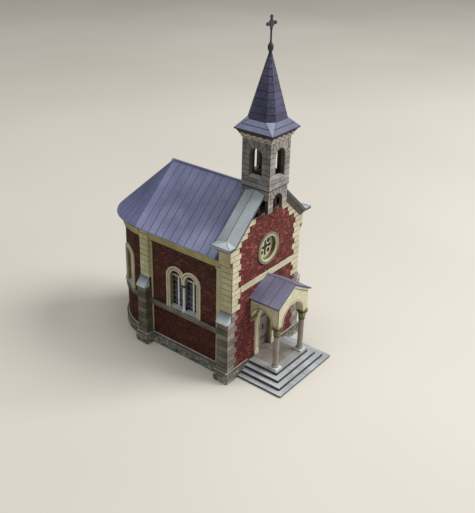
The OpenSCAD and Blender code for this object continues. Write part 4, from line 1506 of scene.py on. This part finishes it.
dress(turret_stones, ("turret_shade_lines", "shade_line", "turret_stone"),
      ("turret_stones", "turret_block", "turret_stone"), ("turret_flanks", "turret_side", "turret_stone"))
dress(bell_sills, ("bell_sills", "bell_slab", "coping_sheet"))
dress(bell_reveals, ("bell_reveals", "bell_paint", "turret_stone", 40))


# Frieze

FRIEZE_BAND = 1.5
RING_HALF = 1.3
RING_RISE = 1.15
RING_R = 0.24
BOSS_HALF = 0.42
BOSS_RISE = 0.5
STUD_HALF = 0.3
STUD_RISE = 0.8


def frieze_ornament(shape, lines):
    """A row of oval rings with a boss in each and a stud between them, under a plain dark band of painted
    shadow from the skirt's eave.
    """
    flare = FRIEZE_HALF - TURRET_HALF
    rise = FRIEZE_Z - SHAFT_Z
    lean = math.hypot(flare, rise)
    band_foot = lean - FRIEZE_BAND
    foot_half = FRIEZE_HALF - flare * FRIEZE_BAND / lean
    middle = (band_foot + 0.5) / 2
    pitch = 2 * (TURRET_HALF + 1) / 5
    for x, y in FACES:
        face = sheet((x * TURRET_HALF, TURRET_Y + y * TURRET_HALF, SHAFT_Z), (-y, x, 0),
                     (x * flare, y * flare, rise))
        for u in [k * pitch for k in range(-2, 3)]:
            ring = [face(u + RING_HALF * math.cos(t), middle + RING_RISE * math.sin(t), 0.1)
                    for t in circle(16)]
            shape.tube(ring, RING_R, closed=True, sides=6)
            shape.block(rounded(u, middle, BOSS_HALF, BOSS_RISE, 10), face, 0.3, 0.15)
        for u in [k * pitch for k in (-1.5, -0.5, 0.5, 1.5)]:
            stud = [(u - STUD_HALF, middle), (u, middle - STUD_RISE), (u + STUD_HALF, middle),
                    (u, middle + STUD_RISE)]
            shape.block(stud, face, 0.25, 0.1)
        shape.block(rect(-TURRET_HALF, 0.05, TURRET_HALF, 0.42), face, 0.25, 0.08)
        # Painted shadow: the dark band at the top of the frieze, under the skirt's eave.
        band = [(-foot_half, band_foot), (foot_half, band_foot), (FRIEZE_HALF, lean), (-FRIEZE_HALF, lean)]
        lines.block(band, face, 0.12, 0.05)


dress(frieze_ornament, ("frieze_ornament", "ornament_pale", "cream_stone", 50),
      ("frieze_shade_band", "shade_line", "cream_stone"))


# Spire

SPIRE_ROWS = 9
ROW_SHARE = 0.91
SPIRE_FOOT = [(SPIRE_HALF, -SPIRE_CORNER), (SPIRE_HALF, SPIRE_CORNER), (SPIRE_CORNER, SPIRE_HALF),
              (-SPIRE_CORNER, SPIRE_HALF), (-SPIRE_HALF, SPIRE_CORNER), (-SPIRE_HALF, -SPIRE_CORNER),
              (-SPIRE_CORNER, -SPIRE_HALF), (SPIRE_CORNER, -SPIRE_HALF)]
SKIRT_CORNERS = [(x * SKIRT_HALF, y * SKIRT_HALF) for x, y in ((1, -1), (1, 1), (-1, 1), (-1, -1))]
ROW_LIFTS = (0.26, 0.12)
HIP_R = 0.24
SKIRT_HIP_R = 0.2
LIP_R = 0.28
SKIRT_LIFT = 0.2
SKIRT_SHEETS = ((0.0, 0.45, SKIRT_LIFT), (0.52, 0.97, 0.16))
BUD_R = 0.42
BUD_SET = 0.45
ARM_ENDS = ((-3.05, 0), (3.05, 0), (0, 3.1))


def spire_at(x, y, z):
    """A point in the frame, with its depth measured from the middle of the turret."""
    return at(x, TURRET_Y + y, z)


def panel(shape, lower, upper, out, lifts, tone):
    """A sheet between a lower and an upper pair of corners, each pair lifted out by its own height."""
    ring = lower + upper[::-1]
    raised = [p + out * lift * MM for p, lift in zip(ring, (lifts[0], lifts[0], lifts[1], lifts[1]))]
    shape.loft([ring, raised], tone)


def spire_rows(shape):
    """Rows of sheets on the faces, the corner faces lighter than the rest."""
    for i, a in enumerate(SPIRE_FOOT):
        b = SPIRE_FOOT[(i + 1) % 8]
        out = Vector(((a[0] + b[0]) / 2, (a[1] + b[1]) / 2, 0)).normalized()
        for row in range(SPIRE_ROWS):
            pairs = []
            for share in (row / SPIRE_ROWS, (row + ROW_SHARE) / SPIRE_ROWS):
                z = SPIRE_Z + (SPIRE_TOP - SPIRE_Z) * share
                size = 1 - (1 - SPIRE_TIP) * share
                pairs.append([spire_at(x * size, y * size, z) for x, y in (a, b)])
            panel(shape, *pairs, out, ROW_LIFTS, 0.35 + 0.4 * (i % 2) + 0.2 * rng.random())


def skirt_rows(shape):
    """Two sheets on each slope of the skirt, and one on each corner."""
    for i, a in enumerate(SKIRT_CORNERS):
        b = SKIRT_CORNERS[(i + 1) % 4]
        tops = (SPIRE_FOOT[2 * i], SPIRE_FOOT[2 * i + 1])
        out = Vector(((a[0] + b[0]) / 2, (a[1] + b[1]) / 2, SKIRT_HALF)).normalized()
        for foot, head, lift in SKIRT_SHEETS:
            pairs = []
            for share in (foot, head):
                z = SKIRT_LIP_Z + (SPIRE_Z - SKIRT_LIP_Z) * share
                pairs.append([spire_at(x + (top_x - x) * share, y + (top_y - y) * share, z)
                              for (x, y), (top_x, top_y) in zip((a, b), tops)])
            panel(shape, *pairs, out, (lift, lift), 0.95 - 0.9 * (i % 2) + rng.uniform(-0.05, 0.05))
        out = Vector((b[0], b[1], SKIRT_HALF)).normalized()
        ring = [spire_at(*b, SKIRT_LIP_Z), spire_at(*SPIRE_FOOT[(2 * i + 2) % 8], SPIRE_Z),
                spire_at(*SPIRE_FOOT[2 * i + 1], SPIRE_Z)]
        shape.loft([ring, [p + out * SKIRT_LIFT * MM for p in ring]], 1.0)


def spire_hips(shape):
    """Rolls on the hips of the spire, and on the hips and the lip of its skirt."""
    for x, y in SPIRE_FOOT:
        tip = spire_at(x * SPIRE_TIP, y * SPIRE_TIP, SPIRE_TOP)
        shape.tube([spire_at(x, y, SPIRE_Z), tip], HIP_R, sides=6)
    for i in range(4):
        corner = spire_at(*SKIRT_CORNERS[(i + 1) % 4], SKIRT_LIP_Z)
        for k in (2 * i + 1, 2 * i + 2):
            shape.tube([corner, spire_at(*SPIRE_FOOT[k % 8], SPIRE_Z)], SKIRT_HIP_R, sides=6)
        shape.tube([corner, spire_at(*SKIRT_CORNERS[(i + 2) % 4], SKIRT_LIP_Z)], LIP_R, sides=6)


def cross_buds(shape):
    """Lobed ends on the arms of the cross."""
    faces = [wall(0, TURRET_Y, 0, out) for out in (1, -1)]
    for u, v in ARM_ENDS:
        for du, dv in ((-BUD_SET, 0), (BUD_SET, 0), (0, -BUD_SET), (0, BUD_SET)):
            for face in faces:
                shape.block(rounded(u + du, CROSS_Z + v + dv, BUD_R, BUD_R, 10), face, 0.55, 0.2, foot=0.0)


dress(spire_rows, ("spire_rows", "slate", "spire_slate"))
dress(skirt_rows, ("skirt_sheets", "skirt_sheet", "spire_slate"))
dress(spire_hips, ("spire_hips", "slate_seam", "spire_slate", 60))
dress(cross_buds, ("cross_buds", "dark_metal", "finial_metal", 50))


# Porch

COLUMN_BASE = 2.42
CORBEL_H = 3.9
CORBEL_D = 2.0
CORBEL_W = 3.6
LEAVES = 8
LEAF_ROWS = ((0, NECK_Z + 0.3, 2.3, 1.6), (1, NECK_Z + 1.7, 2.6, 1.75))
LEAF_CURL = 0.75
VOLUTE_OUT = 1.75
VOLUTE_HALF = 0.32
VOLUTE_RISE = 0.45
VOLUTE_R = 0.24
BASE_H = 1.15
JAMB_FOOT = WALL_Z + 3.2


def arch_trim(shape, lines, face, centre, radius, width, line, steps):
    """A moulding round a porch arch, with a thin dark line of painted shade outside it."""
    shape.arc_band(face, centre, PORCH_SPRING, radius + 0.05, radius + width, 0.3, steps)
    lines.arc_band(face, centre, PORCH_SPRING, radius + width + 0.02, radius + line, 0.06, steps, 0.02)


def porch_mouldings(shape, lines):
    """Mouldings and dark lines of painted shade on the porch: round its arches, under its roof and up its
    corners.
    """
    front = wall(0, PORCH_FRONT, 0, -1)
    arch_trim(shape, lines, front, 0, PORCH_ARCH_R, 0.6, 0.86, 40)
    roof_low = PORCH_RIDGE - PORCH_ROOF_T
    edge = PORCH_HALF - 0.1
    top = roof_low - PORCH_SLOPE * PORCH_HALF
    for sign in (-1, 1):
        for made, drop, rise, out in ((shape, 0.1, 1.5, 0.45), (lines, 1.62, 0.32, 0.12)):
            upper = roof_low - drop
            lower = upper - rise
            outline = [(0, lower), (sign * edge, lower - PORCH_SLOPE * edge),
                       (sign * edge, upper - PORCH_SLOPE * edge), (0, upper)]
            made.block(facing(outline, sign), front, out, 0.06)
        side = wall(sign * PORCH_HALF, 0, sign, 0)
        arch_trim(shape, lines, side, sign * PORCH_SIDE_Y, PORCH_SIDE_R, 0.55, 0.8, 32)
        u0, u1 = span(sign, PORCH_FRONT, PORCH_FRONT + 0.3)
        lines.block(rect(u0, PORCH_SPRING + 0.2, u1, top - 1.5), side, 0.06, 0.02)
        u0, u1 = span(sign, PORCH_FRONT, 0.0)
        shape.block(rect(u0 + 0.1, top - 1.2, u1 - 0.1, top - 0.2), side, 0.3, 0.1)
        lines.block(rect(u0 + 0.1, top - 1.45, u1 - 0.1, top - 1.22), side, 0.06, 0.02)


def door_mouldings(shape):
    """Bands round the arch of the door surround and down its jambs."""
    face = wall(0, low("door_surround").y + 0.3, 0, -1)
    bands = ((DOOR_HALF + 0.1, DOOR_HALF + 0.8), (DOOR_FRAME - 1.0, DOOR_FRAME - 0.1))
    for inner, outer in bands:
        shape.arc_band(face, 0, DOOR_SPRING, inner, outer, 0.3, 36)
    for sign in (-1, 1):
        for band in bands:
            u0, u1 = span(sign, *band)
            shape.block(rect(u0, JAMB_FOOT, u1, DOOR_SPRING), face, 0.3, 0.1)


def porch_trim(shape, lines):
    porch_mouldings(shape, lines)
    door_mouldings(shape)


def leaf(shape, x, y, turn, z, height, radius):
    """One pointed leaf that leans out of a bell and curls over at its tip."""
    tangent = Vector((-math.sin(turn), math.cos(turn)))
    away = Vector((math.cos(turn), math.sin(turn)))
    rings = []
    for share, width in ((0.0, 0.34), (0.35, 0.5), (0.7, 0.42), (0.92, 0.25), (1.0, 0.08)):
        out = radius + LEAF_CURL * share ** 2.5
        lift = z + height * (share if share < 0.9 else 0.93 - 0.4 * (share - 0.9))
        ring = []
        for offset, d in ((-width, 0.0), (0.0, 0.16), (width, 0.0), (0.0, -0.12)):
            spot = away * (out + d) + tangent * offset
            ring.append(at(x + spot.x, y + spot.y, lift))
        rings.append(ring)
    shape.loft(rings, rng.random(), first_end=True)


def capitals(shape):
    """Two rows of leaves on the bell of each capital, and a scroll at each corner over them."""
    for x in (-COLUMN_X, COLUMN_X):
        for row, z, height, radius in LEAF_ROWS:
            for k in range(LEAVES):
                leaf(shape, x, COLUMN_Y, 2 * math.pi * (k + row / 2) / LEAVES, z, height, radius)
        for dx in (-1, 1):
            for dy in (-1, 1):
                centre = at(x + dx * VOLUTE_OUT, COLUMN_Y + dy * VOLUTE_OUT, PORCH_SPRING - 2.7)
                ring = [Vector((dx * VOLUTE_HALF * math.cos(t), dy * VOLUTE_HALF * math.cos(t),
                                VOLUTE_RISE * math.sin(t))) for t in circle(12)]
                shape.tube([centre + p * MM for p in ring], VOLUTE_R, closed=True)


def corbel_leaves(shape):
    """Leaves on the sides and the front of the corbels that the side arches rest on."""
    waist = PORCH_SPRING - 1.5
    for sign in (-1, 1):
        for x, out in ((PORCH_HALF, sign), (PORCH_HALF - CORBEL_W, -sign)):
            face = wall(sign * x, 0, out, 0)
            for y, width, drop in ((-0.55, 0.5, 3.2), (-1.35, 0.5, 2.2)):
                u = out * y
                foot = PORCH_SPRING - 0.7 - drop
                outline = [(u - width * 0.3, foot), (u + width * 0.3, foot), (u + width, waist),
                           (u, PORCH_SPRING - 0.8), (u - width, waist)]
                shape.block(outline, face, 0.3, 0.12, rng.random())
        front = sheet((sign * (PORCH_HALF - CORBEL_W / 2), -0.4, PORCH_SPRING - CORBEL_H), (1, 0, 0),
                      (0, 0.4 - CORBEL_D, CORBEL_H - 1.2))
        for u in (-1.15, 0.0, 1.15):
            outline = [(u - 0.25, 0.2), (u + 0.25, 0.2), (u + 0.5, 2.0), (u, 2.8), (u - 0.5, 2.0)]
            shape.block(outline, front, 0.3, 0.12, rng.random())


def leaf_work(shape):
    capitals(shape)
    corbel_leaves(shape)


def column_bases(shape):
    """Square slabs under the columns."""
    for x in (-COLUMN_X, COLUMN_X):
        square = rect(x - COLUMN_BASE, COLUMN_Y - COLUMN_BASE, x + COLUMN_BASE, COLUMN_Y + COLUMN_BASE)
        shape.block(square, level(WALL_Z), BASE_H, 0.15)


dress(porch_trim, ("porch_mouldings", "cream_block", "cream_stone", 40),
      ("porch_shade_lines", "shade_line", "cream_stone", 40))
dress(leaf_work, ("capital_leaves", "leaf_stone", "cream_stone", 50))
dress(column_bases, ("column_bases", "base_pale", "cream_stone"))


# Steps

STEPS = 3
LOW_STEP = 0.9
STEP_SLAB = 12
STEP_RETURN = 14
SLAB_GAP = 0.05
FLOOR_EDGE = 4.6
FLOOR_GAP = 0.08
FLOOR_BACK = -1.3


def step_slabs(shape):
    """Treads of the three steps, in slabs flush with the risers."""
    for step in range(1, STEPS + 1):
        half = PLATFORM_HALF + step * TREAD
        front = PLATFORM_FRONT - step * TREAD
        ground = level((WALL_Z - LOW_STEP) * (STEPS - step) / STEPS + LOW_STEP)
        for a, b in beds(-half, half, round(2 * half / STEP_SLAB)):
            shape.block(rect(a, front, b, front + TREAD, SLAB_GAP), ground, 0.12, 0.08, rng.random())
        for sign in (-1, 1):
            u0, u1 = span(sign, half - TREAD, half - SLAB_GAP)
            for y0, y1 in ((front + TREAD, front + STEP_RETURN), (front + STEP_RETURN, -PLINTH_OUT)):
                shape.block(rect(u0 + SLAB_GAP, y0 + SLAB_GAP, u1, y1 - SLAB_GAP), ground, 0.12, 0.08,
                            rng.random())


def platform_slabs(shape, border):
    """Floor of the porch: a border of slabs round larger ones, and a sill in the doorway."""
    ground = level(high("platform").z)
    half = PLATFORM_HALF
    front = PLATFORM_FRONT
    inner = front + FLOOR_EDGE

    def slab(made, u0, v0, u1, v1):
        made.block(rect(u0, v0, u1, v1), ground, 0.16, 0.1, rng.random())
    for a, b in ((-half, -half / 2), (-half / 2, half / 2), (half / 2, half)):
        slab(border, a + FLOOR_GAP, front, b - FLOOR_GAP, inner)
    inner += 2 * FLOOR_GAP
    for sign in (-1, 1):
        u0, u1 = span(sign, half, half - FLOOR_EDGE)
        slab(border, u0, inner, u1, FLOOR_BACK)
    for sign in (-1, 1):
        u0, u1 = span(sign, FLOOR_GAP, half - FLOOR_EDGE - 2 * FLOOR_GAP)
        slab(shape, u0, inner, u1, FLOOR_BACK)
    sill_half = DOOR_HALF - 0.2
    shape.block(rect(-sill_half, FLOOR_BACK, sill_half, DOOR_Y - 0.3), ground, 0.16, 0.1, 0.3)


dress(step_slabs, ("step_slabs", "step_top", "step_stone"))
dress(platform_slabs, ("platform_slabs", "porch_floor", "step_stone"),
      ("platform_border", "porch_border", "step_stone"))


# Floor, light and camera

FLOOR_REACH = 4.0
FLOOR_Z = -0.0002
AIM = (0, 0, 0.07)


def floor():
    """A large sheet of pale paper under the chapel."""
    made = Nodes("floor_paper")
    tone = made.ramp(made.noise(3.0, 2.0), [(0.3, srgb(196, 192, 183)), (0.7, srgb(206, 202, 194))])
    made.feed(made.shader, {"Base Color": tone, "Roughness": 0.9, "Specular IOR Level": 0.1})
    mesh = bpy.data.meshes.new("floor")
    corners = rect(-FLOOR_REACH, -FLOOR_REACH, FLOOR_REACH, FLOOR_REACH)
    mesh.from_pydata([(x, y, 0) for x, y in corners], [], [(0, 1, 2, 3)])
    mesh.materials.append(made.material)
    ground = bpy.data.objects.new("floor", mesh)
    ground.location.z = FLOOR_Z
    bpy.context.collection.objects.link(ground)


def lamp(name, place, size, power, colour):
    """An area light that is aimed at the chapel, a little below its middle."""
    data = bpy.data.lights.new(name, "AREA")
    data.size = size
    data.energy = power
    data.color = colour
    light = bpy.data.objects.new(name, data)
    light.location = place
    light.rotation_euler = (Vector(AIM) - Vector(place)).to_track_quat("-Z", "Y").to_euler()
    bpy.context.collection.objects.link(light)


def camera():
    """The photograph's view, in pixels of a 475 by 513 frame."""
    azimuth = math.radians(-51.13)
    elevation = math.radians(26.19)
    roll = math.radians(0.924)
    distance = 418.5
    focal = 762.7
    width, tall = 475, 513
    centre_x, centre_y = 223.7, 229.7
    back = Vector((math.sin(azimuth) * math.cos(elevation), -math.cos(azimuth) * math.cos(elevation),
                   math.sin(elevation)))
    target = at(0, 30, 70)
    data = bpy.data.cameras.new("photo_view")
    data.sensor_width = 36
    data.lens = focal * data.sensor_width / tall
    data.shift_x = (width / 2 - centre_x) / tall
    data.shift_y = (centre_y - tall / 2) / tall
    data.clip_start = 0.01
    view = bpy.data.objects.new("photo_view", data)
    view.location = target + back * distance * MM
    turn = (-back).to_track_quat("-Z", "Y").to_matrix().to_4x4()
    view.rotation_euler = (turn @ Matrix.Rotation(roll, 4, "Z")).to_euler()
    bpy.context.collection.objects.link(view)
    bpy.context.scene.camera = view


def world():
    made = bpy.data.worlds.new("studio")
    made.use_nodes = True
    sky = made.node_tree.nodes["Background"]
    sky.inputs["Color"].default_value = (1.0, 0.98, 0.93, 1.0)
    sky.inputs["Strength"].default_value = 0.2
    bpy.context.scene.world = made


floor()
world()
lamp("key", (0.6, -0.75, 1.05), 0.7, 17.5, (1.0, 0.98, 0.96))
lamp("top", (-0.12, 0.0, 1.4), 0.9, 11, (0.98, 0.98, 0.98))
camera()
bpy.context.scene.view_settings.view_transform = "Standard"
